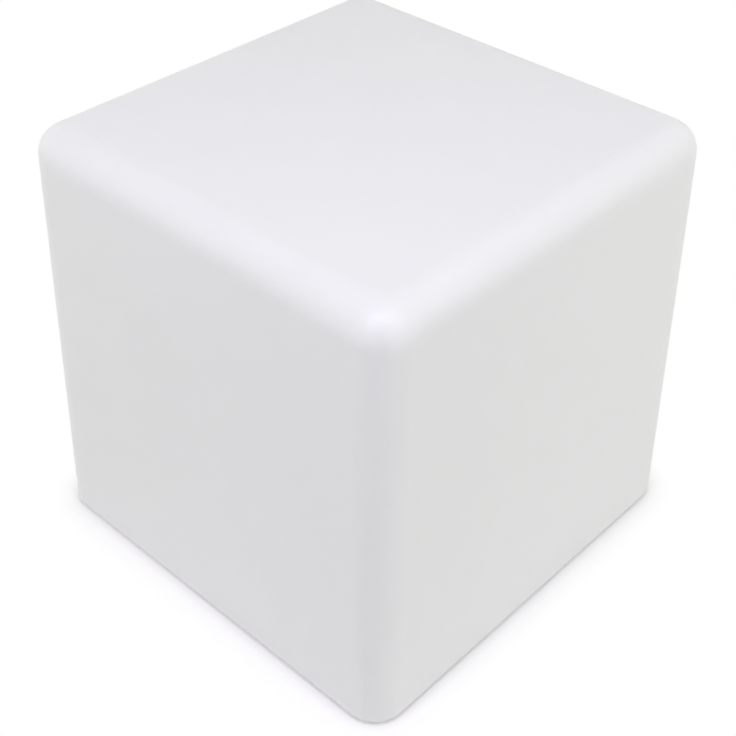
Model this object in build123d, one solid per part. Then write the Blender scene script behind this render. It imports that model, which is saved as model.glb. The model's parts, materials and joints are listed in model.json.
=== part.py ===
from build123d import *
from math import cos, hypot, radians, sin, sqrt, tan
import os

# A battery LED cube light: a hollow moulded seat cube, lit from a sealed lamp unit that closes
# a round port in its underside. Millimetres. The origin is on the floor under the middle of the
# cube, with +Z up. Front is -Y and right is +X.

# ---- The moulded cube ----
base_width = 400.0  # across the flats at the foot of the walls
overall_height = 394.0  # floor to seat
draft_angle = 1.25  # each wall leans in by this, in degrees
wall = 3.5  # thickness of the moulded skin
upright_radius = 27.0  # round of the four upright edges
seat_edge_step = 1.0  # how much tighter the edge about the seat is
heel_radius = 5.0  # round of the edge at the foot of the walls
recess_depth = 16.0  # the round recess that keeps the lamp unit off the floor
recess_corner = 3.0  # round in the recess's inner corner
recess_lip = 3.0  # round of the recess's mouth
finger_room = 19.0  # free ring about the base plate, inside the recess

# ---- Feet ----
foot_radius = 16.0
foot_thickness = 5.0
foot_proud = 2.0  # how far a foot stands out of its pocket
foot_inset = 50.0  # from the cube's base edge to a foot's centre
foot_bevel = 1.0
pocket_clearance = 0.4
foot_sink_radius = 5.5  # counterbore that hides the foot's screw
foot_sink_depth = 3.0
foot_screw_radius = 2.0
foot_screw_head_radius = 4.0
foot_screw_head = 2.3
foot_screw_length = 14.0
foot_boss_radius = 6.0

# ---- Base plate, its gasket and its screws ----
plate_thickness = 3.0
plate_bevel = 1.0
plate_margin = 7.0  # from the screw circle to the plate's edge
gasket_thickness = 1.5
port_clearance = 1.0  # round the lamp unit where it passes the port
insert_radius = 3.2
insert_length = 8.0
insert_boss_radius = 6.5
insert_boss_height = 14.0  # of the bosses moulded on the recess's roof
boss_setback = 0.5  # from the port's edge to a boss
insert_hole_run_out = 2.5  # free depth over an insert
base_screw_count = 6
base_screw_radius = 1.95
base_screw_head_radius = 3.8
base_screw_head = 2.6
base_screw_length = 12.5
thread_clearance = 0.05
seal_washer_radius = 4.4
seal_washer_thickness = 0.8
screw_hole_clearance = 0.3
stiffening_bead_width = 2.0
stiffening_bead_height = 0.8

# ---- Screw heads, as shares of a head's own height and radius ----
head_round_share = 0.45  # of the height, for the round of the head's edge
recess_depth_share = 0.5  # of the height, for the cross recess
recess_reach_share = 0.55  # of the radius, for each arm of the cross
recess_width_share = 0.14  # of the radius, for half of an arm's width

# ---- Battery pack and cradle ----
cell_radius = 9.2  # a standard 18 by 65 mm lithium cell
cell_length = 65.0
cell_cap_radius = 3.2
cell_cap_height = 1.0
cell_edge_round = 0.6
cell_gap = 0.1
sleeve_wall = 0.3
sleeve_overhang = 1.6  # past the end of the cells
protection_board_thickness = 1.0
protection_board_width = 28.0
protection_board_height = 12.0
cradle_floor = 1.6
cradle_end_room = 6.5  # from a cell's end to the cradle's edge
cradle_side_room = 5.1  # from the pack's side to the cradle's edge
cradle_wall = 1.5
cradle_wall_height = 8.5
saddle_width = 4.0
saddle_place = 22.0  # along the pack from its middle
saddle_lift = 0.4  # the pack's height over the cradle's floor
stop_width = 6.0
stop_place = 10.0
stop_height = 6.5
strap_width = 8.0
strap_thickness = 0.5
strap_clearance = 0.05
pack_clearance = 0.3

# ---- Control board and what it carries ----
board_pillar_height = 14.5
board_thickness = 1.6
board_end_room = 5.0  # from a cradle pillar's axis to the board's end
board_side_room = 7.0  # from the cradle's edge to the board's side
part_room = 5.4  # free height between the board and the cradle
pillar_radius = 3.5
pillar_inset = 4.0  # from the cradle's edges to a pillar's axis
board_post_radius = 2.8
board_post_inset = 3.5
small_screw_radius = 1.25
small_screw_head_radius = 2.3
small_screw_head = 1.6
small_screw_length = 7.0
connector_height = 4.8
connector_depth = 8.0
connector_shoulder = 2.0  # past the outermost wire's pitch, to each side
battery_connector_inset = 1.0  # from the board's right end
led_connector_inset = 2.0  # from the board's back edge
chip_size = 8.0
chip_height = 1.4
chip_x = 4.0
chip_y = -5.7
transistor_count = 3
transistor_length = 6.0
transistor_width = 5.0
transistor_height = 2.2
transistor_pitch = 7.5
transistor_inset = 5.0  # from the board's left end to the first one's middle
transistor_y = 2.0
capacitor_radius = 4.0
capacitor_length = 10.5
capacitor_inset = 2.0  # from the board's back edge
inductor_size = 7.0
inductor_height = 4.2
inductor_x = -14.0
inductor_inset = 3.5  # from the board's front edge

# ---- Power button and its switch ----
port_spacing = 32.0  # from the button's axis to the charging socket's axis
button_radius = 6.35
button_clearance = 0.15
button_proud = 0.6
button_travel = 1.5
button_flange = 1.25  # how far the retaining flange reaches past the button
button_flange_thickness = 1.2
button_stem_radius = 2.2
button_bevel = 0.5
button_guard_gap = 1.0
button_guard_width = 2.0
button_guard_height = 1.2
seal_groove_depth = 0.75
seal_groove_height = 1.2
seal_clearance = 0.05
symbol_radius = 2.6
symbol_stroke = 0.6
symbol_gap = 1.0  # half of the gap at the top of the ring
symbol_bar = 3.4  # from the ring's middle to the bar's end
symbol_depth = 0.3
switch_size = 6.2
switch_height = 7.0
switch_bore_depth = 4.0
plunger_radius = 1.7
plunger_clearance = 0.1
plunger_reach = 2.0  # how far the plunger stands out of the switch
plunger_grip = 1.5  # how far it stays inside the switch

# ---- Charging socket and its cover ----
socket_size_x = 9.0
socket_size_y = 11.0
socket_gap = 0.5  # from the plate to the socket's body
nose_radius = 4.4
nose_clearance = 0.3
nose_sink = 0.9  # the nose's mouth, in from the plate's outer face
socket_bore_radius = 3.1  # takes a plug of 5.5 mm
socket_bore_depth = 11.6
centre_pin_radius = 1.05
centre_pin_sink = 2.3  # the pin's tip, in from the nose's mouth
centre_pin_tip = 0.3
cover_radius = 8.0
cover_thickness = 1.5
cover_gap = 0.35  # between the cover and the plate
cover_reach = 14.0  # from the hinge's axis to the socket's axis
cover_neck_width = 9.2
cover_tab_length = 4.0
cover_tab_width = 7.0
stopper_root_radius = 2.9
stopper_tip_radius = 2.2
stopper_length = 2.85
hinge_bead_radius = 1.2
hinge_clearance = 0.07
hinge_drop = 1.9  # from the plate's outer face to the hinge's axis
hinge_lug_width = 3.0
hinge_lug_length = 5.0
hinge_lug_wall = 1.1
hinge_side_gap = 0.4

# ---- Charge indicator ----
window_radius = 1.5
window_clearance = 0.05
window_offset = 14.0  # from the plate's centre line, towards the front
window_flange = 0.8
window_recess = 0.2
status_led_size = 3.0
status_led_height = 1.4

# ---- Electronics housing ----
housing_room = 9.7  # from the cradle's corner to the housing's wall
housing_wall = 2.5
housing_ceiling = 3.5
housing_flange_width = 3.0
housing_flange_height = 4.0
housing_edge = 3.0
ring_groove_width = 1.8
ring_groove_depth = 1.3
column_radius = 3.6
column_inset = 7.0  # from the housing's wall to a column's axis
column_rib = 2.0
column_angle = 60.0
housing_screw_radius = 1.45
housing_screw_head_radius = 2.9
housing_screw_head = 2.0
housing_screw_length = 14.0

# ---- Light source ----
spreader_thickness = 2.0
spreader_margin = 0.3
led_board_thickness = 1.6
lead_room = 12.4  # free ring between the LED board and the dome, for the leads
led_size = 5.0
led_height = 1.6
led_lens_radius = 2.0
led_lens_depth = 0.3
led_edge_room = 5.5  # from the board's edge to the outer ring of LEDs
outer_led_count = 16
inner_led_count = 8
led_screw_count = 3
led_screw_angle = 30.0
led_screw_length = 6.0

# ---- Diffuser dome ----
dome_flange_thickness = 2.0
dome_wall = 1.8
dome_rise = 24.0
dome_edge_room = 3.5  # from the housing's edge to the dome's flange
dome_screw_count = 4
dome_screw_inset = 3.8
dome_screw_room = 3.7  # from the dome's screws to its bulge
dome_screw_length = 8.0
dome_boss_radius = 3.5
dome_boss_length = 8.0
dome_ring_inset = 1.7

# ---- Wires and grommet ----
wire_radius = 0.65
wire_clearance = 0.1
wire_pitch = 1.5
wire_bend = 3.0
led_wire_count = 4
battery_wire_count = 2
grommet_radius = 4.0
grommet_lip = 1.2
grommet_lip_thickness = 1.0
lead_arch = 4.0  # how high the LED leads rise over their board
pack_lead_room = 4.0  # from the cradle's end to the battery leads

# ---- Heights that follow, from the floor up ----
shell_bottom = foot_proud
recess_roof = shell_bottom + recess_depth
plate_top = recess_roof - gasket_thickness
plate_bottom = plate_top - plate_thickness
board_bottom = plate_top + board_pillar_height
board_top = board_bottom + board_thickness
cradle_bottom = board_top + part_room
cradle_top = cradle_bottom + cradle_floor
pack_radius = cell_radius + cell_gap + sleeve_wall
pack_axis = cradle_top + saddle_lift + pack_radius
ceiling_under = pack_axis + pack_radius + strap_clearance + strap_thickness + pack_clearance
housing_top = ceiling_under + housing_ceiling
spreader_top = housing_top + spreader_thickness
led_board_top = spreader_top + led_board_thickness
dome_flange_top = housing_top + dome_flange_thickness
connector_mid = board_top + connector_height / 2

# ---- Widths that follow, from the pack outwards ----
seat_radius = upright_radius - seat_edge_step
cell_pitch = 2 * (cell_radius + cell_gap)
pack_half_width = cell_pitch / 2 + pack_radius
sleeve_half_length = cell_length / 2 + sleeve_overhang
cradle_half_length = cell_length / 2 + cradle_end_room
cradle_half_width = pack_half_width + cradle_side_room
pillar_x = cradle_half_length - pillar_inset
pillar_y = cradle_half_width - pillar_inset
board_half_length = pillar_x - board_end_room
board_half_width = cradle_half_width - board_side_room
battery_connector_face = board_half_length - battery_connector_inset
led_connector_face = board_half_width - led_connector_inset
housing_inner = hypot(cradle_half_length, cradle_half_width) + housing_room
housing_outer = housing_inner + housing_wall
housing_flange = housing_outer + housing_flange_width
port_radius = housing_flange + port_clearance
screw_circle = port_radius + insert_boss_radius + boss_setback
plate_radius = screw_circle + plate_margin
recess_radius = plate_radius + finger_room
column_circle = housing_inner - column_inset
dome_flange_radius = housing_outer - dome_edge_room
dome_screw_circle = dome_flange_radius - dome_screw_inset
dome_radius = dome_screw_circle - dome_screw_room
dome_sphere = (dome_radius**2 + dome_rise**2) / (2 * dome_rise)
dome_centre = dome_flange_top + dome_rise - dome_sphere
dome_opening = sqrt((dome_sphere - dome_wall) ** 2 - (dome_flange_top - dome_centre) ** 2)
led_board_radius = dome_opening - lead_room
outer_led_circle = led_board_radius - led_edge_room
inner_led_circle = outer_led_circle / 2
led_screw_circle = (outer_led_circle + inner_led_circle) / 2
lead_y = (led_board_radius + dome_opening) / 2
lead_end_y = led_board_radius - wire_pitch
foot_place = base_width / 2 - foot_inset
pocket_roof = shell_bottom + foot_thickness - foot_proud
button_x = port_spacing / 2
socket_x = -port_spacing / 2
hinge_x = socket_x - cover_reach
hinge_z = plate_bottom - hinge_drop
nose_mouth = plate_bottom + nose_sink
socket_bore_end = nose_mouth + socket_bore_depth
socket_bottom = plate_top + socket_gap
switch_bottom = board_bottom - switch_height


# ---- Small helpers ----
def rod(x, y, low, high, radius):
    """An upright cylinder from height low to height high."""
    upright = (Align.CENTER, Align.CENTER, Align.MIN)
    return Pos(x, y, low) * Cylinder(radius, high - low, align=upright)


def ring(low, high, inner, outer):
    """A flat-sided ring about the cube's axis."""
    return rod(0, 0, low, high, outer) - rod(0, 0, low, high, inner)


def block(x_low, x_high, y_low, y_high, z_low, z_high):
    """A box between two corners."""
    corner = (Align.MIN, Align.MIN, Align.MIN)
    size = (x_high - x_low, y_high - y_low, z_high - z_low)
    return Pos(x_low, y_low, z_low) * Box(*size, align=corner)


def turned(outline):
    """A solid turned about the cube's axis from an outline of (radius, height) points."""
    face = make_face(Polyline(*outline, close=True))
    return revolve(Plane.XZ * face, Axis.Z)


def circle_places(radius, count, first_angle=0.0):
    """Evenly spaced (x, y) places on a circle."""
    angles = [radians(first_angle + 360 * step / count) for step in range(count)]
    return [(radius * cos(angle), radius * sin(angle)) for angle in angles]


def corner_places(x, y):
    """The four (x, y) corners of a rectangle about the axis."""
    return [(x, -y), (x, y), (-x, y), (-x, -y)]


def screw(x, y, seat, head_radius, head_height, shank_radius, length, upwards=True):
    """A pan-head screw with a cross recess; its head bears on height seat."""
    head = rod(0, 0, -head_height, 0, head_radius)
    head = fillet(head.edges().sort_by(Axis.Z)[0], head_height * head_round_share)
    arm = head_radius * recess_reach_share
    half_slot = head_radius * recess_width_share
    slot_top = -head_height * (1 - recess_depth_share)
    head -= block(-arm, arm, -half_slot, half_slot, -head_height, slot_top)
    head -= block(-half_slot, half_slot, -arm, arm, -head_height, slot_top)
    piece = head + rod(0, 0, 0, length, shank_radius)
    turn = 0 if upwards else 180
    return Pos(x, y, seat) * Rot(turn, 0, 0) * piece


def wire(points):
    """A round wire along straight runs joined by arcs."""
    path = FilletPolyline(*points, radius=wire_bend)
    section = Plane(path @ 0, z_dir=path % 0) * Circle(wire_radius)
    return sweep(section, path=path)


def group(solids):
    """Several separate solids in one node."""
    return Compound(children=list(solids))


# ---- The moulded cube ----
def width_at(height):
    """The cube's width across the flats at a height."""
    return base_width - 2 * (height - shell_bottom) * tan(radians(draft_angle))


def leaning_block(low, high, inset):
    """A square block with leaning walls, each inset from the cube's skin, and round edges."""
    sections = []
    for height in (low, high):
        width = width_at(height) - 2 * inset
        square = RectangleRounded(width, width, upright_radius - inset)
        sections.append(Pos(0, 0, height) * square)
    solid = loft(sections)
    solid = fillet(solid.faces().sort_by(Axis.Z)[-1].edges(), seat_radius - inset)
    return fillet(solid.faces().sort_by(Axis.Z)[0].edges(), heel_radius - inset)


def recess_void(grow):
    """The recess in the underside, grown by a thickness to give its inner face."""
    radius = recess_radius + grow
    roof = recess_roof + grow
    void = rod(0, 0, shell_bottom - wall, roof, radius)
    return fillet(void.edges().sort_by(Axis.Z)[-1], recess_corner + grow)


def cube_shell():
    """The hollow cube with its recess, port, insert bosses and foot pockets."""
    cavity = leaning_block(shell_bottom + wall, overall_height - wall, wall)
    cavity -= recess_void(wall)
    boss_top = recess_roof + insert_boss_height
    for x, y in circle_places(screw_circle, base_screw_count):
        cavity -= rod(x, y, recess_roof, boss_top, insert_boss_radius)
    pocket_radius = foot_radius + pocket_clearance
    foot_boss_top = pocket_roof + foot_screw_length + wall
    for x, y in corner_places(foot_place, foot_place):
        cavity -= rod(x, y, shell_bottom, pocket_roof + wall, pocket_radius + wall)
        cavity -= rod(x, y, shell_bottom, foot_boss_top, foot_boss_radius)
    shell = leaning_block(shell_bottom, overall_height, 0) - cavity
    shell -= recess_void(0)
    rounds = shell.edges().filter_by(GeomType.CIRCLE)
    mouth = rounds.group_by(Axis.Z)[0].sort_by(SortBy.RADIUS)[-1]
    shell = fillet(mouth, recess_lip)
    shell -= rod(0, 0, shell_bottom, boss_top, port_radius)
    insert_top = recess_roof + insert_length
    for x, y in circle_places(screw_circle, base_screw_count):
        shell -= rod(x, y, recess_roof, insert_top, insert_radius)
        run_out = insert_top + insert_hole_run_out
        shell -= rod(x, y, insert_top, run_out, base_screw_radius + screw_hole_clearance)
    for x, y in corner_places(foot_place, foot_place):
        shell -= rod(x, y, shell_bottom, pocket_roof, pocket_radius)
        shell -= rod(x, y, pocket_roof, pocket_roof + foot_screw_length, foot_screw_radius)
    return shell


def threaded_inserts():
    """Brass inserts in the shell's bosses, open at both ends."""
    top = recess_roof + insert_length
    bore = base_screw_radius + thread_clearance
    for x, y in circle_places(screw_circle, base_screw_count):
        yield rod(x, y, recess_roof, top, insert_radius) - rod(x, y, recess_roof, top, bore)


# ---- Feet ----
def foot(x, y):
    """A rubber foot with a bevelled sole and a counterbore for its screw."""
    pad = rod(x, y, 0, foot_thickness, foot_radius)
    pad = chamfer(pad.edges().sort_by(Axis.Z)[0], foot_bevel)
    pad -= rod(x, y, 0, foot_sink_depth, foot_sink_radius)
    return pad - rod(x, y, 0, foot_thickness, foot_screw_radius + thread_clearance)


def foot_screws():
    """One self-tapping screw up through each foot."""
    grip = foot_thickness - foot_sink_depth
    for x, y in corner_places(foot_place, foot_place):
        yield screw(
            x,
            y,
            foot_sink_depth,
            foot_screw_head_radius,
            foot_screw_head,
            foot_screw_radius,
            grip + foot_screw_length - wall,
        )


# ---- Base plate ----
def hinge_lugs():
    """Two lugs under the plate that hold the charging cover's hinge bead."""
    inner = cover_neck_width / 2 + hinge_side_gap
    outer = inner + hinge_lug_width
    bottom = hinge_z - hinge_bead_radius - hinge_lug_wall
    half = hinge_lug_length / 2
    lugs = block(hinge_x - half, hinge_x + half, inner, outer, bottom, plate_bottom)
    lugs += block(hinge_x - half, hinge_x + half, -outer, -inner, bottom, plate_bottom)
    axis = Cylinder(hinge_bead_radius + hinge_clearance, 2 * outer)
    return lugs - Pos(hinge_x, 0, hinge_z) * Rot(90, 0, 0) * axis


def board_post_places():
    """Where the control board is screwed down."""
    return corner_places(board_half_length - board_post_inset, board_half_width - board_post_inset)


def base_plate():
    """The round plate with its pillars, hinge lugs, button guard and holes."""
    plate = rod(0, 0, plate_bottom, plate_top, plate_radius)
    plate = chamfer(plate.edges().sort_by(Axis.Z)[0], plate_bevel)
    bead_outer = port_radius - stiffening_bead_width
    bead_inner = bead_outer - stiffening_bead_width
    plate += ring(plate_bottom - stiffening_bead_height, plate_bottom, bead_inner, bead_outer)
    guard_inner = button_radius + button_clearance + button_guard_gap
    guard_low = plate_bottom - button_guard_height
    plate += rod(button_x, 0, guard_low, plate_bottom, guard_inner + button_guard_width)
    plate -= rod(button_x, 0, guard_low, plate_bottom, guard_inner)
    plate += hinge_lugs()
    for x, y in corner_places(pillar_x, pillar_y):
        plate += rod(x, y, plate_top, cradle_bottom, pillar_radius)
        plate -= rod(x, y, cradle_bottom - small_screw_length, cradle_bottom, small_screw_radius)
    for x, y in board_post_places():
        plate += rod(x, y, plate_top, board_bottom, board_post_radius)
        plate -= rod(x, y, board_bottom - small_screw_length, board_bottom, small_screw_radius)
    for x, y in circle_places(screw_circle, base_screw_count):
        hole = base_screw_radius + screw_hole_clearance
        plate -= rod(x, y, plate_bottom, plate_top, hole)
    for x, y in column_places():
        hole = housing_screw_radius + screw_hole_clearance
        plate -= rod(x, y, plate_bottom, plate_top, hole)
    plate -= rod(button_x, 0, plate_bottom, plate_top, button_radius + button_clearance)
    plate -= rod(socket_x, 0, plate_bottom, plate_top, nose_radius + nose_clearance)
    plate -= rod(0, -window_offset, plate_bottom, plate_top, window_radius + window_clearance)
    return plate


def port_gasket():
    """The flat gasket between the plate and the recess's roof."""
    gasket = ring(plate_top, recess_roof, port_radius + port_clearance / 2, plate_radius)
    for x, y in circle_places(screw_circle, base_screw_count):
        hole = base_screw_radius + screw_hole_clearance
        gasket -= rod(x, y, plate_top, recess_roof, hole)
    return gasket


def base_screws():
    """The screws that hold the plate up against the shell."""
    seat = plate_bottom - seal_washer_thickness
    for x, y in circle_places(screw_circle, base_screw_count):
        yield screw(
            x,
            y,
            seat,
            base_screw_head_radius,
            base_screw_head,
            base_screw_radius,
            base_screw_length,
        )


def screw_seals():
    """Rubber washers under the heads of the base screws."""
    low = plate_bottom - seal_washer_thickness
    bore = base_screw_radius + thread_clearance
    for x, y in circle_places(screw_circle, base_screw_count):
        washer = rod(x, y, low, plate_bottom, seal_washer_radius)
        yield washer - rod(x, y, low, plate_bottom, bore)


# ---- Electronics housing ----
def column_places():
    """The housing's screw columns: on a circle, beside the cradle's long sides."""
    angles = (column_angle, 180 - column_angle, 180 + column_angle, -column_angle)
    return [
        (column_circle * cos(radians(angle)), column_circle * sin(radians(angle)))
        for angle in angles
    ]


def housing_ring_circle():
    """Mean radius of the sealing ring under the housing's rim."""
    return (housing_inner + housing_flange) / 2


def dome_ring_circle():
    """Mean radius of the sealing ring under the dome's flange."""
    return dome_radius + dome_ring_inset - ring_groove_width / 2


def dome_screw_places():
    """Where the dome is screwed down."""
    return circle_places(dome_screw_circle, dome_screw_count)


def seal_groove(middle, low, high):
    """A square groove about the axis, which a sealing ring fills."""
    half = ring_groove_width / 2
    return ring(low, high, middle - half, middle + half)


def electronics_housing():
    """The upturned cup over the works, with its columns, bosses and grooves."""
    flange_top = plate_top + housing_flange_height
    cup = turned(
        [
            (0, ceiling_under),
            (housing_inner, ceiling_under),
            (housing_inner, plate_top),
            (housing_flange, plate_top),
            (housing_flange, flange_top),
            (housing_outer, flange_top),
            (housing_outer, housing_top),
            (0, housing_top),
        ]
    )
    rim = cup.edges().filter_by(GeomType.CIRCLE).group_by(Axis.Z)[-1]
    cup = fillet(rim.sort_by(SortBy.RADIUS)[-1], housing_edge)
    half_rib = column_rib / 2
    for x, y in column_places():
        cup += rod(x, y, plate_top, ceiling_under, column_radius)
        side = 1 if y > 0 else -1
        reach = side * sqrt((housing_inner + housing_wall / 2) ** 2 - x**2)
        low, high = sorted((y, reach))
        cup += block(x - half_rib, x + half_rib, low, high, plate_top, ceiling_under)
        cup -= rod(x, y, plate_top, plate_top + housing_screw_length, housing_screw_radius)
    for x, y in dome_screw_places():
        cup += rod(x, y, ceiling_under - dome_boss_length, ceiling_under, dome_boss_radius)
        depth = dome_screw_length - dome_flange_thickness
        cup -= rod(x, y, housing_top - depth, housing_top, housing_screw_radius)
    for x, y in led_screw_places():
        depth = led_screw_length - spreader_thickness - led_board_thickness
        cup -= rod(x, y, housing_top - depth, housing_top, housing_screw_radius)
    cup -= rod(0, lead_y, ceiling_under, housing_top, grommet_radius)
    cup -= seal_groove(housing_ring_circle(), plate_top, plate_top + ring_groove_depth)
    return cup - seal_groove(dome_ring_circle(), housing_top - ring_groove_depth, housing_top)


def housing_screws():
    """The screws up through the plate into the housing's columns."""
    for x, y in column_places():
        yield screw(
            x,
            y,
            plate_bottom,
            housing_screw_head_radius,
            housing_screw_head,
            housing_screw_radius,
            housing_screw_length,
        )


def wire_grommet():
    """The rubber grommet in the housing's ceiling, slotted for four wires side by side."""
    body = rod(0, lead_y, ceiling_under, housing_top, grommet_radius)
    lip = grommet_radius + grommet_lip
    body += rod(0, lead_y, housing_top, housing_top + grommet_lip_thickness, lip)
    body += rod(0, lead_y, ceiling_under - grommet_lip_thickness, ceiling_under, lip)
    half_width = (led_wire_count - 1) * wire_pitch / 2 + wire_radius + wire_clearance
    low = ceiling_under - grommet_lip_thickness
    high = housing_top + grommet_lip_thickness
    half = wire_radius + wire_clearance
    return body - block(-half_width, half_width, lead_y - half, lead_y + half, low, high)


# ---- Light source ----
def led_screw_places():
    """Where the LED board is screwed down, between its two rings of LEDs."""
    return circle_places(led_screw_circle, led_screw_count, led_screw_angle)


def drilled_disc(low, high, radius):
    """A disc about the axis with the LED board's three screw holes."""
    disc = rod(0, 0, low, high, radius)
    for x, y in led_screw_places():
        disc -= rod(x, y, low, high, housing_screw_radius + screw_hole_clearance)
    return disc


def led_emitters():
    """Square surface-mounted LEDs in two rings, each with a shallow round lens."""
    top = led_board_top + led_height
    half = led_size / 2
    places = circle_places(outer_led_circle, outer_led_count)
    places += circle_places(inner_led_circle, inner_led_count)
    for x, y in places:
        body = block(x - half, x + half, y - half, y + half, led_board_top, top)
        yield body - rod(x, y, top - led_lens_depth, top, led_lens_radius)


def led_board_screws():
    """Screws down through the LED board and the heat spreader into the housing."""
    for x, y in led_screw_places():
        yield screw(
            x,
            y,
            led_board_top,
            housing_screw_head_radius,
            housing_screw_head,
            housing_screw_radius - thread_clearance,
            led_screw_length,
            upwards=False,
        )


def dome_cap(sphere_radius, low):
    """The part of the dome's sphere over a height."""
    ball = Pos(0, 0, dome_centre) * Sphere(sphere_radius)
    return ball & rod(0, 0, low, dome_centre + sphere_radius, sphere_radius)


def diffuser_dome():
    """The milky dome with its screwed flange."""
    dome = dome_cap(dome_sphere, dome_flange_top)
    dome += rod(0, 0, housing_top, dome_flange_top, dome_flange_radius)
    dome -= dome_cap(dome_sphere - dome_wall, dome_flange_top)
    dome -= rod(0, 0, housing_top, dome_flange_top, dome_opening)
    for x, y in dome_screw_places():
        hole = housing_screw_radius + screw_hole_clearance
        dome -= rod(x, y, housing_top, dome_flange_top, hole)
    return dome


def dome_screws():
    """Screws down through the dome's flange into the housing's bosses."""
    for x, y in dome_screw_places():
        yield screw(
            x,
            y,
            dome_flange_top,
            housing_screw_head_radius,
            housing_screw_head,
            housing_screw_radius - thread_clearance,
            dome_screw_length,
            upwards=False,
        )


# ---- Control board ----
def control_board():
    """The board that carries the switch, the socket and the electronics."""
    board = block(
        -board_half_length,
        board_half_length,
        -board_half_width,
        board_half_width,
        board_bottom,
        board_top,
    )
    for x, y in board_post_places():
        board -= rod(x, y, board_bottom, board_top, small_screw_radius + screw_hole_clearance)
    return board


def board_screws():
    """Screws down through the board into its posts."""
    for x, y in board_post_places():
        yield screw(
            x,
            y,
            board_top,
            small_screw_head_radius,
            small_screw_head,
            small_screw_radius - thread_clearance,
            small_screw_length,
            upwards=False,
        )


def board_part(x, y, size_x, size_y, height):
    """A square-edged part on the board's upper face."""
    return block(
        x - size_x / 2, x + size_x / 2, y - size_y / 2, y + size_y / 2, board_top, board_top + height
    )


def controller_chip():
    """The chip that drives the colours and the charging."""
    return board_part(chip_x, chip_y, chip_size, chip_size, chip_height)


def power_transistors():
    """One transistor for each colour channel."""
    for step in range(transistor_count):
        x = -board_half_length + transistor_inset + step * transistor_pitch
        yield board_part(x, transistor_y, transistor_length, transistor_width, transistor_height)


def charge_inductor():
    """The charger's inductor."""
    y = -board_half_width + inductor_inset + inductor_size / 2
    return board_part(inductor_x, y, inductor_size, inductor_size, inductor_height)


def filter_capacitor():
    """The electrolytic capacitor, hanging under the board behind the button and the socket."""
    y = board_half_width - capacitor_inset - capacitor_radius
    return rod(0, y, board_bottom - capacitor_length, board_bottom, capacitor_radius)


def battery_connector():
    """The pack's plug and socket, at the board's right end."""
    half = battery_wire_count * wire_pitch / 2 + connector_shoulder
    low = battery_connector_face - connector_depth
    high = battery_connector_face
    return block(low, high, -half, half, board_top, board_top + connector_height)


def led_connector():
    """The LED leads' plug and socket, at the board's back edge."""
    half = led_wire_count * wire_pitch / 2 + connector_shoulder
    low = led_connector_face - connector_depth
    high = led_connector_face
    return block(-half, half, low, high, board_top, board_top + connector_height)


# ---- Power button and switch ----
def power_symbol():
    """A plain ring broken by a bar, as on any power button."""
    circle = rod(0, 0, 0, symbol_depth, symbol_radius + symbol_stroke / 2)
    circle -= rod(0, 0, 0, symbol_depth, symbol_radius - symbol_stroke / 2)
    circle -= block(-symbol_gap, symbol_gap, 0, symbol_bar, 0, symbol_depth)
    half = symbol_stroke / 2
    return circle + block(-half, half, 0, symbol_bar, 0, symbol_depth)


def power_button():
    """The button with its retaining flange, stem, seal groove and symbol."""
    face = plate_bottom - button_proud
    flange_low = plate_top + seal_clearance
    flange_high = flange_low + button_flange_thickness
    button = rod(button_x, 0, face, flange_low, button_radius)
    button = chamfer(button.edges().sort_by(Axis.Z)[0], button_bevel)
    button += rod(button_x, 0, flange_low, flange_high, button_radius + button_flange)
    button += rod(button_x, 0, flange_high, switch_bottom - plunger_reach, button_stem_radius)
    low, high = button_seal_heights()
    groove = rod(button_x, 0, low, high, button_radius)
    groove -= rod(button_x, 0, low, high, button_radius - seal_groove_depth)
    return button - groove - Pos(button_x, 0, face) * power_symbol()


def button_seal_heights():
    """The seal groove's lower and upper height, in the middle of the plate."""
    middle = (plate_bottom + plate_top) / 2
    return middle - seal_groove_height / 2, middle + seal_groove_height / 2


def button_seal():
    """The sealing ring in the button's groove."""
    low, high = button_seal_heights()
    seal = rod(button_x, 0, low, high, button_radius + button_clearance - seal_clearance)
    return seal - rod(button_x, 0, low, high, button_radius - seal_groove_depth)


def switch_plunger():
    """The switch's plunger, on the button's stem."""
    low = switch_bottom - plunger_reach
    return rod(button_x, 0, low, switch_bottom + plunger_grip, plunger_radius)


def switch_body():
    """The push switch under the board, with a bore for its plunger."""
    half = switch_size / 2
    body = block(button_x - half, button_x + half, -half, half, switch_bottom, board_bottom)
    top = switch_bottom + switch_bore_depth
    return body - rod(button_x, 0, switch_bottom, top, plunger_radius + plunger_clearance)


# ---- Charging socket and cover ----
def charge_jack():
    """The barrel socket: a body under the board and a round nose through the plate."""
    half_x = socket_size_x / 2
    half_y = socket_size_y / 2
    jack = block(socket_x - half_x, socket_x + half_x, -half_y, half_y, socket_bottom, board_bottom)
    jack += rod(socket_x, 0, nose_mouth, socket_bottom, nose_radius)
    return jack - rod(socket_x, 0, nose_mouth, socket_bore_end, socket_bore_radius)


def charge_pin():
    """The socket's centre pin, its tip set back from the nose's mouth."""
    pin = rod(socket_x, 0, nose_mouth + centre_pin_sink, socket_bore_end, centre_pin_radius)
    return fillet(pin.edges().sort_by(Axis.Z)[0], centre_pin_tip)


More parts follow.
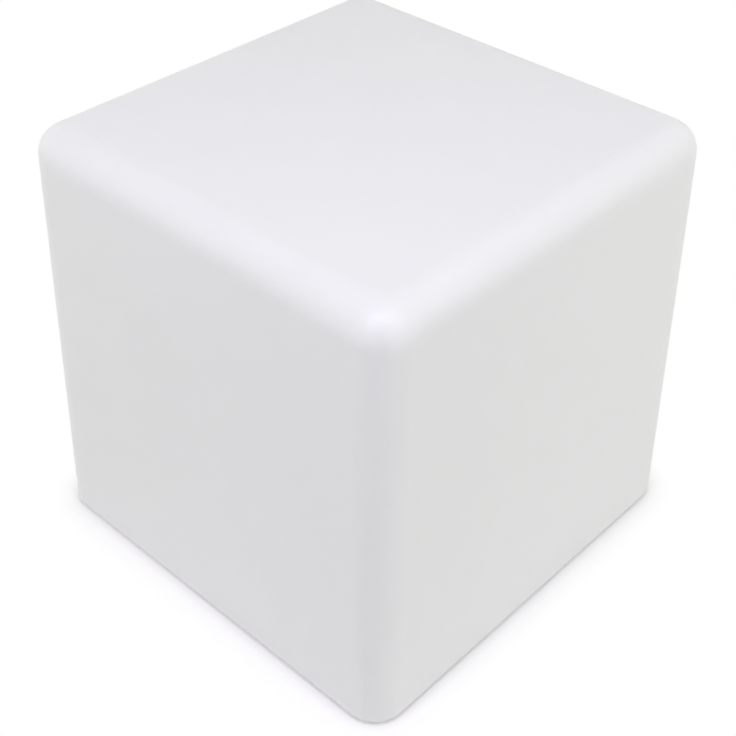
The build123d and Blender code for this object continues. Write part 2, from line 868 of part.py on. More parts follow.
def charge_cover():
    """The rubber flap over the socket, with its stopper, pull tab and hinge bead."""
    high = plate_bottom - cover_gap
    low = high - cover_thickness
    half_neck = cover_neck_width / 2
    half_tab = cover_tab_width / 2
    flap = rod(socket_x, 0, low, high, cover_radius)
    flap += block(hinge_x, socket_x, -half_neck, half_neck, low, high)
    tab_end = socket_x + cover_radius + cover_tab_length
    flap += block(socket_x, tab_end - half_tab, -half_tab, half_tab, low, high)
    flap += rod(tab_end - half_tab, 0, low, high, half_tab)
    bead = Cylinder(hinge_bead_radius, cover_neck_width + 2 * hinge_lug_width)
    flap += Pos(hinge_x, 0, hinge_z) * Rot(90, 0, 0) * bead
    upright = (Align.CENTER, Align.CENTER, Align.MIN)
    stopper = Cone(stopper_root_radius, stopper_tip_radius, stopper_length, align=upright)
    return flap + Pos(socket_x, 0, high) * stopper


# ---- Charge indicator ----
def status_window():
    """The clear light guide from the plate up to the indicator LED."""
    top = board_bottom - status_led_height - window_recess
    guide = rod(0, -window_offset, plate_bottom + window_recess, top, window_radius)
    flange_top = plate_top + window_flange
    return guide + rod(0, -window_offset, plate_top, flange_top, window_radius + window_flange)


def status_led():
    """The indicator LED under the board."""
    half = status_led_size / 2
    low = board_bottom - status_led_height
    y = -window_offset
    return block(-half, half, y - half, y + half, low, board_bottom)


# ---- Battery pack ----
def lying_slot(half_width, half_height, length):
    """A solid with a stadium section, lying along X at the pack's height."""
    face = Plane.YZ * SlotOverall(2 * half_width, 2 * half_height)
    return Pos(-length / 2, 0, pack_axis) * extrude(face, length)


def battery_cell(side):
    """One cell along X, with its raised cap at the right end."""
    can = Cylinder(cell_radius, cell_length - cell_cap_height)
    can = fillet(can.edges().filter_by(GeomType.CIRCLE), cell_edge_round)
    can += Pos(0, 0, cell_length / 2) * Cylinder(cell_cap_radius, cell_cap_height)
    centre_x = -cell_cap_height / 2
    return Pos(centre_x, side * cell_pitch / 2, pack_axis) * Rot(0, 90, 0) * can


def battery_sleeve():
    """The shrink sleeve round both cells."""
    length = 2 * sleeve_half_length
    outer = lying_slot(pack_half_width, pack_radius, length)
    inner_radius = pack_radius - sleeve_wall
    return outer - lying_slot(pack_half_width - sleeve_wall, inner_radius, length)


def protection_board():
    """The pack's protection board, across the cells' right ends."""
    low = cell_length / 2 + cell_gap
    high = low + protection_board_thickness
    half_y = protection_board_width / 2
    half_z = protection_board_height / 2
    return block(low, high, -half_y, half_y, pack_axis - half_z, pack_axis + half_z)


def battery_strap():
    """The strap over the pack and under the cradle's floor."""
    inner_reach = pack_half_width + strap_clearance
    outer_reach = inner_reach + strap_thickness
    inner_radius = pack_radius + strap_clearance
    outer_radius = inner_radius + strap_thickness
    half = strap_width / 2
    bottom = cradle_bottom - strap_clearance
    outer = lying_slot(outer_reach, outer_radius, strap_width)
    low = bottom - strap_thickness
    outer += block(-half, half, -outer_reach, outer_reach, low, pack_axis)
    inner = lying_slot(inner_reach, inner_radius, strap_width)
    inner += block(-half, half, -inner_reach, inner_reach, bottom, pack_axis)
    return outer - inner


def battery_cradle():
    """The tray under the pack: saddles, side walls, end stops and strap slots."""
    length = cradle_half_length
    width = cradle_half_width
    tray = block(-length, length, -width, width, cradle_bottom, cradle_top)
    saddle_high = pack_axis - pack_radius / 2
    for x in (-saddle_place, saddle_place):
        low = x - saddle_width / 2
        high = x + saddle_width / 2
        tray += block(low, high, -pack_half_width, pack_half_width, cradle_top, saddle_high)
    tray -= lying_slot(pack_half_width + cell_gap, pack_radius + cell_gap, 2 * length)
    wall_inner = pack_half_width + strap_clearance + strap_thickness + cell_gap
    wall_half = pillar_x - pillar_radius - pack_clearance
    wall_high = cradle_top + cradle_wall_height
    for side in (-1, 1):
        low, high = sorted((side * wall_inner, side * (wall_inner + cradle_wall)))
        tray += block(-wall_half, wall_half, low, high, cradle_top, wall_high)
        low, high = sorted((side * pack_half_width, side * wall_inner))
        slot_half = strap_width / 2 + cell_gap
        tray -= block(-slot_half, slot_half, low, high, cradle_bottom, cradle_top)
    stop_near = sleeve_half_length + pack_clearance
    stop_far = stop_near + cradle_wall
    for side_x in (-1, 1):
        x_low, x_high = sorted((side_x * stop_near, side_x * stop_far))
        for y in (-stop_place, stop_place):
            y_low = y - stop_width / 2
            y_high = y + stop_width / 2
            tray += block(x_low, x_high, y_low, y_high, cradle_top, cradle_top + stop_height)
    for x, y in corner_places(pillar_x, pillar_y):
        hole = small_screw_radius + screw_hole_clearance
        tray -= rod(x, y, cradle_bottom, cradle_top, hole)
    return tray


def cradle_screws():
    """Screws down through the cradle into the base plate's pillars."""
    for x, y in corner_places(pillar_x, pillar_y):
        yield screw(
            x,
            y,
            cradle_top,
            small_screw_head_radius,
            small_screw_head,
            small_screw_radius - thread_clearance,
            small_screw_length,
            upwards=False,
        )


# ---- Wires ----
def battery_leads():
    """The pack's two wires, down past the cradle's end to their connector."""
    start_x = cell_length / 2 + cell_gap + protection_board_thickness
    turn_x = cradle_half_length + pack_lead_room
    for step in range(battery_wire_count):
        y = (step - (battery_wire_count - 1) / 2) * wire_pitch
        yield wire(
            [
                (start_x, y, pack_axis),
                (turn_x, y, pack_axis),
                (turn_x, y, connector_mid),
                (battery_connector_face, y, connector_mid),
            ]
        )


def led_leads():
    """The LED board's four wires, up through the grommet and over onto the board's edge."""
    arch_top = led_board_top + lead_arch
    for step in range(led_wire_count):
        x = (step - (led_wire_count - 1) / 2) * wire_pitch
        yield wire(
            [
                (x, led_connector_face, connector_mid),
                (x, lead_y, connector_mid),
                (x, lead_y, arch_top),
                (x, lead_end_y, arch_top),
                (x, lead_end_y, led_board_top),
            ]
        )


# ---- Every node by name ----
nodes = {
    "cube_shell": cube_shell(),
    "threaded_inserts": group(threaded_inserts()),
    "foot_front_right": foot(foot_place, -foot_place),
    "foot_rear_right": foot(foot_place, foot_place),
    "foot_rear_left": foot(-foot_place, foot_place),
    "foot_front_left": foot(-foot_place, -foot_place),
    "foot_screws": group(foot_screws()),
    "base_plate": base_plate(),
    "port_gasket": port_gasket(),
    "base_screws": group(base_screws()),
    "screw_seals": group(screw_seals()),
    "electronics_housing": electronics_housing(),
    "housing_seal": seal_groove(housing_ring_circle(), plate_top, plate_top + ring_groove_depth),
    "housing_screws": group(housing_screws()),
    "wire_grommet": wire_grommet(),
    "heat_spreader": drilled_disc(housing_top, spreader_top, led_board_radius + spreader_margin),
    "led_board": drilled_disc(spreader_top, led_board_top, led_board_radius),
    "led_emitters": group(led_emitters()),
    "led_board_screws": group(led_board_screws()),
    "diffuser_dome": diffuser_dome(),
    "dome_seal": seal_groove(dome_ring_circle(), housing_top - ring_groove_depth, housing_top),
    "dome_screws": group(dome_screws()),
    "control_board": control_board(),
    "board_screws": group(board_screws()),
    "controller_chip": controller_chip(),
    "power_transistors": group(power_transistors()),
    "charge_inductor": charge_inductor(),
    "filter_capacitor": filter_capacitor(),
    "battery_connector": battery_connector(),
    "led_connector": led_connector(),
    "switch_body": switch_body(),
    "charge_jack": charge_jack(),
    "charge_pin": charge_pin(),
    "status_window": status_window(),
    "status_led": status_led(),
    "battery_cradle": battery_cradle(),
    "cradle_screws": group(cradle_screws()),
    "battery_cell_1": battery_cell(-1),
    "battery_cell_2": battery_cell(1),
    "battery_sleeve": battery_sleeve(),
    "protection_board": protection_board(),
    "battery_strap": battery_strap(),
    "battery_leads": group(battery_leads()),
    "led_leads": group(led_leads()),
    "power_button": power_button(),
    "button_seal": button_seal(),
    "switch_plunger": switch_plunger(),
    "charge_cover": charge_cover(),
}

os.makedirs("parts", exist_ok=True)
for name, shape in nodes.items():
    export_step(shape, f"parts/{name}.step")
    print(name)
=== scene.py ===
# %% [markdown]
# # A battery cube light
# The lamp is a hollow moulded cube, big enough to sit on. A sealed unit in its underside holds the
# cells, the electronics and the LEDs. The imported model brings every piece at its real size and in
# its real place. This file gives each piece its finish, adds the small forms that only the eye
# needs, and sets up a floor, soft light and a camera.

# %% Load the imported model
import json
from math import cos, pi, radians, sin

import bpy
import numpy as np
from mathutils import Matrix, Vector


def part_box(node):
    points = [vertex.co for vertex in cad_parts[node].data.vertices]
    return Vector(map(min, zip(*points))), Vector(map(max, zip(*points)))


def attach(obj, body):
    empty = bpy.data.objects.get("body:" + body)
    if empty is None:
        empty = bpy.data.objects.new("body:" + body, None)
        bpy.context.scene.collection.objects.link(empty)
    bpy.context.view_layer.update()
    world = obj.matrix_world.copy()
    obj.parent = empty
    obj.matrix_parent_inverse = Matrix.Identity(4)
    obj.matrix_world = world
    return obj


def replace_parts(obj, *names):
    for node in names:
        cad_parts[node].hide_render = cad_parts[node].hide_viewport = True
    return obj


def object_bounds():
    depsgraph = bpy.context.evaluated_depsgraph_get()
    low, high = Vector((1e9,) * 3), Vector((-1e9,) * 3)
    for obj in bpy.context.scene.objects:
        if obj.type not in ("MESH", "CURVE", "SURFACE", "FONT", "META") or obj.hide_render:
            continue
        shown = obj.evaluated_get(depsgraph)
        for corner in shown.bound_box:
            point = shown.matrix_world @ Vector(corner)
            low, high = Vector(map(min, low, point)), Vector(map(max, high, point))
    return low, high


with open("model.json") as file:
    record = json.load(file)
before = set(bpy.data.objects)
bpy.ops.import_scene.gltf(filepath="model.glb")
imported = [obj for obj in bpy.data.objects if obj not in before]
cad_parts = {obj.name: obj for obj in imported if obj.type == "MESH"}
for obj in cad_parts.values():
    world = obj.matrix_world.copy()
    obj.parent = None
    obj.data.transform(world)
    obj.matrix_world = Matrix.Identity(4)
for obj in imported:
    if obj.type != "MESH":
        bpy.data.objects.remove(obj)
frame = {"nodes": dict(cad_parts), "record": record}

scene = bpy.context.scene
nodes = frame["nodes"]
cad_low, cad_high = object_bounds()
mm = 0.001
cube_size = cad_high - cad_low
print("pieces:", len(nodes), "size in mm:", [round(side / mm, 1) for side in cube_size])

# %% [markdown]
# The cube is seen from above, over one of its upright edges, by someone standing close to it. A
# camera is its place, the point that it looks at, a little roll, and a lens. The lens is given in
# millimetres for a sensor 36 mm wide. The small upward shift keeps the cube's foot in the frame
# without tilting the camera, so upright edges keep their lean.

# %% Camera
camera_place = Vector((0.6347, -0.6906, 0.8993))
camera_aim = Vector((0.0017, -0.0011, 0.1908))
camera_roll = radians(0.871)
camera_lens = 65.99
camera_shift = -0.05


def looking(place, aim, roll=0.0):
    """The matrix of something at place whose -Z axis points at aim, turned by roll about it."""
    turn = (aim - place).to_track_quat("-Z", "Y").to_matrix().to_4x4()
    return Matrix.Translation(place) @ turn @ Matrix.Rotation(roll, 4, "Z")


camera = bpy.data.objects.new("camera", bpy.data.cameras.new("camera"))
camera.matrix_world = looking(camera_place, camera_aim, camera_roll)
camera.data.lens = camera_lens
camera.data.shift_y = camera_shift
scene.collection.objects.link(camera)
scene.camera = camera
scene.view_settings.view_transform = "Standard"
print("camera is", round((camera_place - camera_aim).length, 3), "m from what it looks at")

# %% [markdown]
# Everything that shines here is a shader: the sky, the floor and each finish. A shader is a small
# graph of nodes. Wiring one by hand takes three lines a node, so one helper adds a node and gives
# each of its inputs a value, or a link where it is handed another node's output. The others do the
# sums: calculate works on two values, a product multiplies shares, a band is a soft step from one
# value to another, and a blend mixes two shaders.


# %% Nodes, sums and blends
def add_node(tree, kind, inputs=(), **settings):
    """A new node of a kind; inputs maps a socket's name or number to a value or to an output."""
    node = tree.nodes.new("ShaderNode" + kind)
    for name, value in settings.items():
        setattr(node, name, value)
    for name, value in dict(inputs).items():
        if isinstance(value, bpy.types.NodeSocket):
            tree.links.new(value, node.inputs[name])
        else:
            node.inputs[name].default_value = value
    return node


def calculate(tree, operation, first, second=0.0):
    """One sum, product or comparison of two values, each a number or an output."""
    return add_node(tree, "Math", {0: first, 1: second}, operation=operation).outputs[0]


def product(tree, first, *others):
    """Several values multiplied, which for shares is 1 only where every one of them is 1."""
    for other in others:
        first = calculate(tree, "MULTIPLY", first, other)
    return first


def band(tree, value, start, end, low=0.0, high=1.0):
    """A smooth change from low to high as value goes from start to end."""
    limits = {"Value": value, "From Min": start, "From Max": end, "To Min": low, "To Max": high}
    return add_node(tree, "MapRange", limits, interpolation_type="SMOOTHSTEP").outputs["Result"]


def blend(tree, share, first, second):
    """Two shaders mixed: the first where share is 0, and the second where it is 1."""
    return add_node(tree, "MixShader", {0: share, 1: first, 2: second}).outputs[0]


# %% [markdown]
# Many patterns ask where a point is. Its place is three numbers in metres, which travel along one
# link. These helpers take a place apart, calculate with all three numbers at once, and measure
# how far it is from zero or from the upright axis.


# %% Working with places
def own_place(tree):
    """Where a point is in its own object's frame."""
    return add_node(tree, "TexCoord").outputs["Object"]


def xyz(tree, place):
    """The three numbers of a place, by the names X, Y and Z."""
    return add_node(tree, "SeparateXYZ", {0: place}).outputs


def calculate_place(tree, operation, first, second=(0, 0, 0)):
    """The same sum for each of the three numbers of two places."""
    return add_node(tree, "VectorMath", {0: first, 1: second}, operation=operation).outputs[0]


def from_zero(tree, place):
    """How far a place is from zero."""
    return add_node(tree, "VectorMath", {0: place}, operation="LENGTH").outputs["Value"]


def from_axis(tree, place):
    """How far a place is from the Z axis, whatever its height."""
    return from_zero(tree, calculate_place(tree, "MULTIPLY", place, (1, 1, 0)))


# %% [markdown]
# A white cube on white needs care. The sky and the floor should look pure white, yet as lamps
# they must not be so strong that the cube burns out. The Light Path node tells these apart: a ray
# that comes straight from the camera, or off a mirror, or through glass, sees plain white, and a
# ray that carries light to a surface meets the studio's own level.

# %% Sky
sky_level = 0.47
sky_colour = (1.0, 1.0, 0.875, 1.0)
white = (1.0, 1.0, 1.0, 1.0)
plain_white = {"Color": white, "Strength": 1.0}


def seen_directly(tree):
    """1 for a ray from the camera, a mirror or glass, and 0 for a ray that gathers light."""
    path = add_node(tree, "LightPath").outputs
    seen = calculate(tree, "MAXIMUM", path["Is Camera Ray"], path["Is Glossy Ray"])
    return calculate(tree, "MAXIMUM", seen, path["Is Transmission Ray"])


sky = bpy.data.worlds.new("sky")
sky.use_nodes = True
sky_tree = sky.node_tree
sky_tree.nodes.clear()
light_sky = add_node(sky_tree, "Background", {"Color": sky_colour, "Strength": sky_level})
white_sky = add_node(sky_tree, "Background", plain_white)
both_skies = blend(sky_tree, seen_directly(sky_tree), light_sky.outputs[0], white_sky.outputs[0])
add_node(sky_tree, "OutputWorld", {"Surface": both_skies})
scene.world = sky
print("the sky as a lamp:", sky_level, "of white")

# %% [markdown]
# The floor is a sheet of white paper. Ambient occlusion finds the narrow strip where the cube all
# but touches it: openness is about a half at the foot of a wall and 1 out in the open. Only in
# that strip is the paper seen as it is lit, so the cube keeps its contact shadow, and the rest
# stays white. In the crease, the last few millimetres before the wall, the paper also gets painted
# shade: its colour is a little darker there.

# %% Openness beside the cube
contact_reach = 34 * mm
shadow_start, shadow_end = 0.45, 0.97
crease_reach = 18 * mm
crease_start, crease_end = 0.45, 0.9
occlusion_samples = 16


def openness(tree, reach, start, end):
    """0 where things within reach hide much of the sky above a point, and 1 in the open."""
    nearness = add_node(tree, "AmbientOcclusion", {"Distance": reach}, samples=occlusion_samples)
    return band(tree, nearness.outputs["AO"], start, end)


print("the contact shadow is looked for within", round(contact_reach / mm), "mm of the cube")

# %% [markdown]
# No lamp reaches in under the cube, so the paper glows there. The glow has the cube's own round
# corners and fades out at its foot, which also keeps the line of contact from going black. Its
# shape is a smaller square, and everything within a fixed distance of it. What a point's x and y
# have beyond the square's half side are the short sides of a right triangle, and its long side
# is how far the point is from the square.

# %% Glow under the cube
glow_level = 0.3
glow_reach = 200 * mm
glow_corner = 27 * mm
glow_fade = 10 * mm


def glow_under_cube(tree):
    """Full inside a square, and fading to nothing at a fixed distance round the outside of it."""
    square = (glow_reach - glow_corner, glow_reach - glow_corner, 0)
    outside = calculate_place(tree, "ABSOLUTE", own_place(tree))
    outside = calculate_place(tree, "SUBTRACT", outside, square)
    outside = calculate_place(tree, "MAXIMUM", outside)
    distance = from_zero(tree, outside)
    return band(tree, distance, glow_corner, glow_corner - glow_fade, 0.0, glow_level)


print("glow:", round(2 * glow_reach / mm), "mm wide, corners of", round(glow_corner / mm), "mm")

# %% [markdown]
# The paper's shader puts these together: paper with painted shade in the crease or plain paper,
# with the glow added to the light on it, and plain white wherever a ray sees it directly and out
# of the shadow. From underneath the sheet is clear, so a camera can look up at the lamp unit.

# %% Floor
floor_reach = 6.0
floor_colour = (0.92, 0.92, 0.92, 1.0)
# painted shade: a darker paper colour for the crease at the foot of the cube's walls
crease_shade_colour = (0.86, 0.86, 0.86, 1.0)


def floor_finish():
    """White paper with painted shade in the crease, seen as it is lit only near contact, and clear
    from underneath.
    """
    material = bpy.data.materials.new("white_paper")
    material.use_nodes = True
    tree = material.node_tree
    tree.nodes.clear()
    # painted shade: the paper's colour is darker in the crease, where the wall meets the floor
    shaded_paper = add_node(tree, "BsdfDiffuse", {"Color": crease_shade_colour}).outputs[0]
    flat = add_node(tree, "BsdfDiffuse", {"Color": floor_colour}).outputs[0]
    paper = blend(tree, openness(tree, crease_reach, crease_start, crease_end), shaded_paper, flat)
    glow = add_node(tree, "Emission", {"Color": white, "Strength": glow_under_cube(tree)})
    lit = add_node(tree, "AddShader", {0: paper, 1: glow.outputs[0]}).outputs[0]
    plain = add_node(tree, "Emission", plain_white).outputs[0]
    out_of_shadow = openness(tree, contact_reach, shadow_start, shadow_end)
    top = blend(tree, product(tree, seen_directly(tree), out_of_shadow), lit, plain)
    underneath = add_node(tree, "NewGeometry").outputs["Backfacing"]
    clear = add_node(tree, "BsdfTransparent").outputs[0]
    add_node(tree, "OutputMaterial", {"Surface": blend(tree, underneath, top, clear)})
    return material


floor_turns = ((-1, -1), (1, -1), (1, 1), (-1, 1))
floor_corners = [(x * floor_reach, y * floor_reach, 0) for x, y in floor_turns]
floor_mesh = bpy.data.meshes.new("floor")
floor_mesh.from_pydata(floor_corners, [], [(0, 1, 2, 3)])
floor_mesh.materials.append(floor_finish())
floor = bpy.data.objects.new("floor", floor_mesh)
scene.collection.objects.link(floor)
print("floor:", 2 * floor_reach, "m square")

# %% [markdown]
# Soft light comes from big lamps. Each one is a rectangle placed by how far it is turned from the
# camera's side, how high it stands and how far off it is, and aimed at the middle of the cube.
# Lamps far round at the sides light the upright faces and miss the near edge, which stays a
# little darker. Lamps high in front fall on the round edges about the seat and make them the
# brightest lines. The upper lamps are bluer than the sky and the side lamps, so the seat looks
# cooler than the walls. A long low lamp behind lights the two walls that the camera doesn't see.
# It is close to the floor, because from higher up it would also catch the seat's far edges. The
# lamps at the sides and behind aren't mirrored in the cube, or the seat would glare when it is
# seen from low down across from them.

# %% Soft lamps
camera_turn = 42.6
cube_middle = (cad_low + cad_high) / 2
warm = (0.98, 1.0, 0.9)
cool = (0.87, 0.83, 0.985)
soft_lamps = {
    # name: turn from the camera's side, height angle, distance, width, height, watts, colour,
    # and whether the cube mirrors it
    "high_front": (0, 68, 1.65, 0.6, 0.6, 7.9, cool, True),
    "left_half": (-40, 45, 1.65, 0.6, 0.6, 5.9, cool, True),
    "right_half": (40, 45, 1.65, 0.6, 0.6, 3.8, cool, True),
    "left_side": (-102, 10, 1.65, 0.8, 0.8, 4.9, warm, False),
    "right_side": (78, 12, 1.65, 0.8, 1.0, 4.7, warm, False),
    "right_back": (135, 45, 1.65, 0.9, 0.9, 1.7, warm, False),
    "low_back": (170, -8, 0.9, 0.8, 0.12, 2.0, cool, False),
}


def toward(turn, rise):
    """The direction at an angle round from the front, which is -Y, and an angle above level."""
    turn, rise = radians(turn), radians(rise)
    return Vector((sin(turn) * cos(rise), -cos(turn) * cos(rise), sin(rise)))


def soft_lamp(name, turn, rise, distance, width, height, watts, colour, mirrored):
    """A rectangular lamp aimed at the cube, which the camera itself doesn't see."""
    light = bpy.data.lights.new(name, "AREA")
    light.shape = "RECTANGLE"
    light.size, light.size_y = width, height
    light.energy, light.color = watts, colour
    lamp = bpy.data.objects.new(name, light)
    place = cube_middle + toward(camera_turn + turn, rise) * distance
    lamp.matrix_world = looking(place, cube_middle)
    lamp.visible_camera = False
    lamp.visible_glossy = mirrored
    scene.collection.objects.link(lamp)


for name, settings in soft_lamps.items():
    soft_lamp(name, *settings)
print("soft lamps:", len(soft_lamps))

# %% [markdown]
# Every finish starts from Blender's Principled shader, in the colour that the record gives its
# slot. The patterns read Object coordinates. All pieces sit at the origin with their place in
# their mesh, so these are metres in the frame of the whole lamp, and a grain of 0.4 mm is 0.4 mm
# on every piece. In a milky plastic, light also sinks in and comes out beside the place where it
# went in: a share of subsurface light does that, and its travel is in metres too.

# %% Starting a finish
slot_colours = {slot["slot"]: slot["base_color"][:3] for slot in frame["record"]["materials"]}


def main_shader(material):
    """The shader that a finish is built on."""
    return material.node_tree.nodes["Principled BSDF"]


def start_finish(slot, roughness, metallic=0.0):
    """A material named after its slot: the material, its node tree and its main shader."""
    material = bpy.data.materials.new(slot)
    material.use_nodes = True
    shader = main_shader(material)
    shader.inputs["Roughness"].default_value = roughness
    shader.inputs["Metallic"].default_value = metallic
    return material, material.node_tree, shader


def object_place(tree, centre=(0, 0, 0), stretch=(1, 1, 1)):
    """Object coordinates seen from a centre, and stretched along their axes."""
    pattern_frame = {"Vector": own_place(tree), "Location": centre, "Scale": stretch}
    return add_node(tree, "Mapping", pattern_frame, vector_type="TEXTURE").outputs[0]


def light_inside(material, share, travel, reach):
    """Lets a share of the light in; reach is how far red, green and blue get, in travels."""
    shader = main_shader(material)
    shader.inputs["Subsurface Weight"].default_value = share
    shader.inputs["Subsurface Radius"].default_value = reach
    shader.inputs["Subsurface Scale"].default_value = travel


print("slots with a colour:", len(slot_colours))

# %% [markdown]
# Most patterns start as clouds, which are Perlin noise with lumps of a given size. A pattern can
# choose between two tones. Paint lets the base colour swing about the slot's own colour as a
# pattern rises and falls, and repaint lays another colour over a finish that is already there,
# such as the paint in an engraving.


# %% Patterns in the colour
def clouds(tree, place, size, detail=2.0):
    """Noise from 0 to 1, mostly near a half, with lumps about size metres across."""
    settings = {"Vector": place, "Scale": 1 / size, "Detail": detail}
    return add_node(tree, "TexNoise", settings).outputs["Fac"]


def mix(tree, factor, first, second):
    """A colour between two colours."""
    return add_node(tree, "Mix", {0: factor, 6: first, 7: second}, data_type="RGBA").outputs[2]


def shade(colour, factor):
    """A colour made lighter or darker, with the fourth number that a socket wants."""
    return (*(min(1.0, channel * factor) for channel in colour), 1.0)


def two_tones(tree, shader, pattern, first, second):
    """The base colour goes from the first to the second as the pattern goes from 0 to 1."""
    tree.links.new(mix(tree, pattern, first, second), shader.inputs["Base Color"])


def paint(tree, shader, pattern, colour, swing):
    """The base colour goes from darker to lighter by swing as the pattern goes from 0 to 1."""
    two_tones(tree, shader, pattern, shade(colour, 1 - swing), shade(colour, 1 + swing))


def repaint(material, share, colour):
    """Another colour over a finish, wherever share is 1."""
    shader = main_shader(material)
    before = shader.inputs["Base Color"].links[0].from_socket
    two_tones(material.node_tree, shader, share, before, colour)


# %% [markdown]
# A pattern can change the shine too, or stand up as relief, which turns it into fine bumps of a
# real depth. When a finish is ready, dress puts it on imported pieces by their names.

# %% Shine, relief and dressing
noise_spread = (0.3, 0.7)


def shine(tree, shader, pattern, low, high, spread=noise_spread):
    """The roughness goes from low to high over a spread of the pattern's values."""
    roughness = band(tree, pattern, *spread, low, high)
    tree.links.new(roughness, shader.inputs["Roughness"])


def relief(tree, shader, height, depth):
    """Fine bumps: height is a pattern from 0 to 1, and depth is what 1 means, in metres."""
    bumps = add_node(tree, "Bump", {"Height": height, "Distance": depth})
    tree.links.new(bumps.outputs["Normal"], shader.inputs["Normal"])


def dress(material, *names):
    """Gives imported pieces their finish."""
    for name in names:
        nodes[name].data.materials.clear()
        nodes[name].data.materials.append(material)
    print(material.name, "is on", ", ".join(names))


# %% [markdown]
# The shell is rotationally moulded polyethylene, a milky, waxy plastic. Powder melts against the
# wall of a hot, turning mould, so the skin has a very faint orange peel, and its wall is nowhere
# quite the same thickness, which shows as clouds in its whiteness. Light also sinks into it and
# comes out a few millimetres away. Subsurface scattering does that: it softens the change from
# light to dark across each round edge.

# %% Shell finish
peel_size, peel_depth = 3.2 * mm, 0.012
sag_size, sag_depth = 45 * mm, 0.10
wall_cloud_size = 80 * mm
pellet_size, pellet_share = 0.9 * mm, 0.35
whiteness_swing = 0.012
wax_patch = 22 * mm
wax_roughness, wax_swing = 0.38, 0.03
milky_share, light_travel = 0.5, 12 * mm
milky_reach = (1.0, 0.9, 0.85)


def shell_plastic():
    """Waxy plastic: clouds, fine pellets, and peel and sag with depths in millimetres."""
    material, tree, shader = start_finish("shell_plastic", wax_roughness)
    place = object_place(tree)
    wall_cloud = clouds(tree, place, wall_cloud_size)
    mottle = product(tree, clouds(tree, place, pellet_size, detail=1.0), pellet_share)
    pattern = calculate(tree, "ADD", wall_cloud, mottle)
    paint(tree, shader, pattern, slot_colours["shell_plastic"], whiteness_swing)
    peel = product(tree, clouds(tree, place, peel_size, detail=3.0), peel_depth)
    sag = product(tree, clouds(tree, place, sag_size, detail=1.0), sag_depth)
    relief(tree, shader, calculate(tree, "ADD", peel, sag), mm)
    wax = clouds(tree, place, wax_patch, detail=3.0)
    shine(tree, shader, wax, wax_roughness - wax_swing, wax_roughness + wax_swing)
    light_inside(material, milky_share, light_travel, milky_reach)
    return material


milky_shell = shell_plastic()
dress(milky_shell, "cube_shell")

# %% [markdown]
# The other plastics are injection moulded. A moulding takes the grain of its steel tool: coarse
# where sparks have eaten the steel, as on the base plate, and nearly smooth on the button. One
# function makes them all from the size and depth of the grain, with clouds of lighter and darker
# plastic that are weaker in a clean white part than in a filled black one.


# %% Moulded plastics
streak_size = 9 * mm
gloss_swing = 0.06


def moulded_plastic(slot, roughness, grain, depth, swing=0.05):
    """Plastic with its tool's grain as relief, and slow clouds in its colour and shine."""
    material, tree, shader = start_finish(slot, roughness)
    place = object_place(tree)
    paint(tree, shader, clouds(tree, place, streak_size, detail=4.0), slot_colours[slot], swing)
    texture = clouds(tree, place, grain, detail=3.0)
    shine(tree, shader, texture, roughness - gloss_swing, roughness + gloss_swing)
    relief(tree, shader, texture, depth)
    return material


plate_finish = moulded_plastic("plate_plastic", 0.52, grain=0.45 * mm, depth=0.035 * mm)
housing_finish = moulded_plastic("housing_plastic", 0.5, grain=0.6 * mm, depth=0.02 * mm)
jack_finish = moulded_plastic("jack_plastic", 0.4, grain=0.3 * mm, depth=0.01 * mm, swing=0.2)
plunger_finish = moulded_plastic("plunger_plastic", 0.45, grain=0.3 * mm, depth=0.01 * mm)
dress(plate_finish, "base_plate")
dress(housing_finish, "electronics_housing", "battery_cradle")
dress(jack_finish, "charge_jack")
dress(plunger_finish, "switch_plunger")

# %% [markdown]
# The connectors are natural nylon. It is a little see-through and takes a warm tint where it is
# thick, so it gets the moulded look with some subsurface light. Nylon carries no filler, so its
# colour hardly swings at all.

# %% Nylon
nylon_share, nylon_travel = 0.4, 1.2 * mm
nylon_reach = (1.0, 0.8, 0.5)
nylon = moulded_plastic("connector_plastic", 0.42, grain=0.4 * mm, depth=0.008 * mm, swing=0.03)
light_inside(nylon, nylon_share, nylon_travel, nylon_reach)
dress(nylon, "battery_connector", "led_connector")

# %% [markdown]
# Rubber is matt and a little dusty. A pale bloom comes to the surface of a moulded rubber part in
# patches, so the colour follows broad clouds, and the fine grain of the mould breaks up what
# little shine there is. The feet, the charging cover and the seals differ in colour and grain.


# %% Rubbers
bloom_patch = 6 * mm
bloom_spread = (0.4, 0.65)
clean_shade = 0.92
clean_gloss, bloom_gloss = -0.05, 0.08


def rubber(slot, roughness, grain, depth, bloom):
    """Matt rubber: a fine grain, with a pale bloom in soft-edged patches."""
    material, tree, shader = start_finish(slot, roughness)
    place = object_place(tree)
    patches = band(tree, clouds(tree, place, bloom_patch, detail=5.0), *bloom_spread)
    dark, pale = shade(slot_colours[slot], clean_shade), shade(slot_colours[slot], 1 + bloom)
    two_tones(tree, shader, patches, dark, pale)
    clean, bloomed = roughness + clean_gloss, roughness + bloom_gloss
    shine(tree, shader, patches, clean, bloomed, spread=(0.0, 1.0))
    relief(tree, shader, clouds(tree, place, grain, detail=4.0), depth)
    return material


foot_rubber = rubber("foot_rubber", 0.75, grain=0.5 * mm, depth=0.04 * mm, bloom=0.15)
cover_rubber = rubber("cover_rubber", 0.68, grain=0.35 * mm, depth=0.02 * mm, bloom=0.08)
seal_rubber = rubber("seal_rubber", 0.6, grain=0.3 * mm, depth=0.015 * mm, bloom=0.4)
feet = ("foot_front_right", "foot_rear_right", "foot_rear_left", "foot_front_left")
dress(foot_rubber, *feet)
dress(cover_rubber, "charge_cover")
dress(seal_rubber, "port_gasket", "screw_seals", "housing_seal", "wire_grommet", "dome_seal")
dress(seal_rubber, "button_seal")

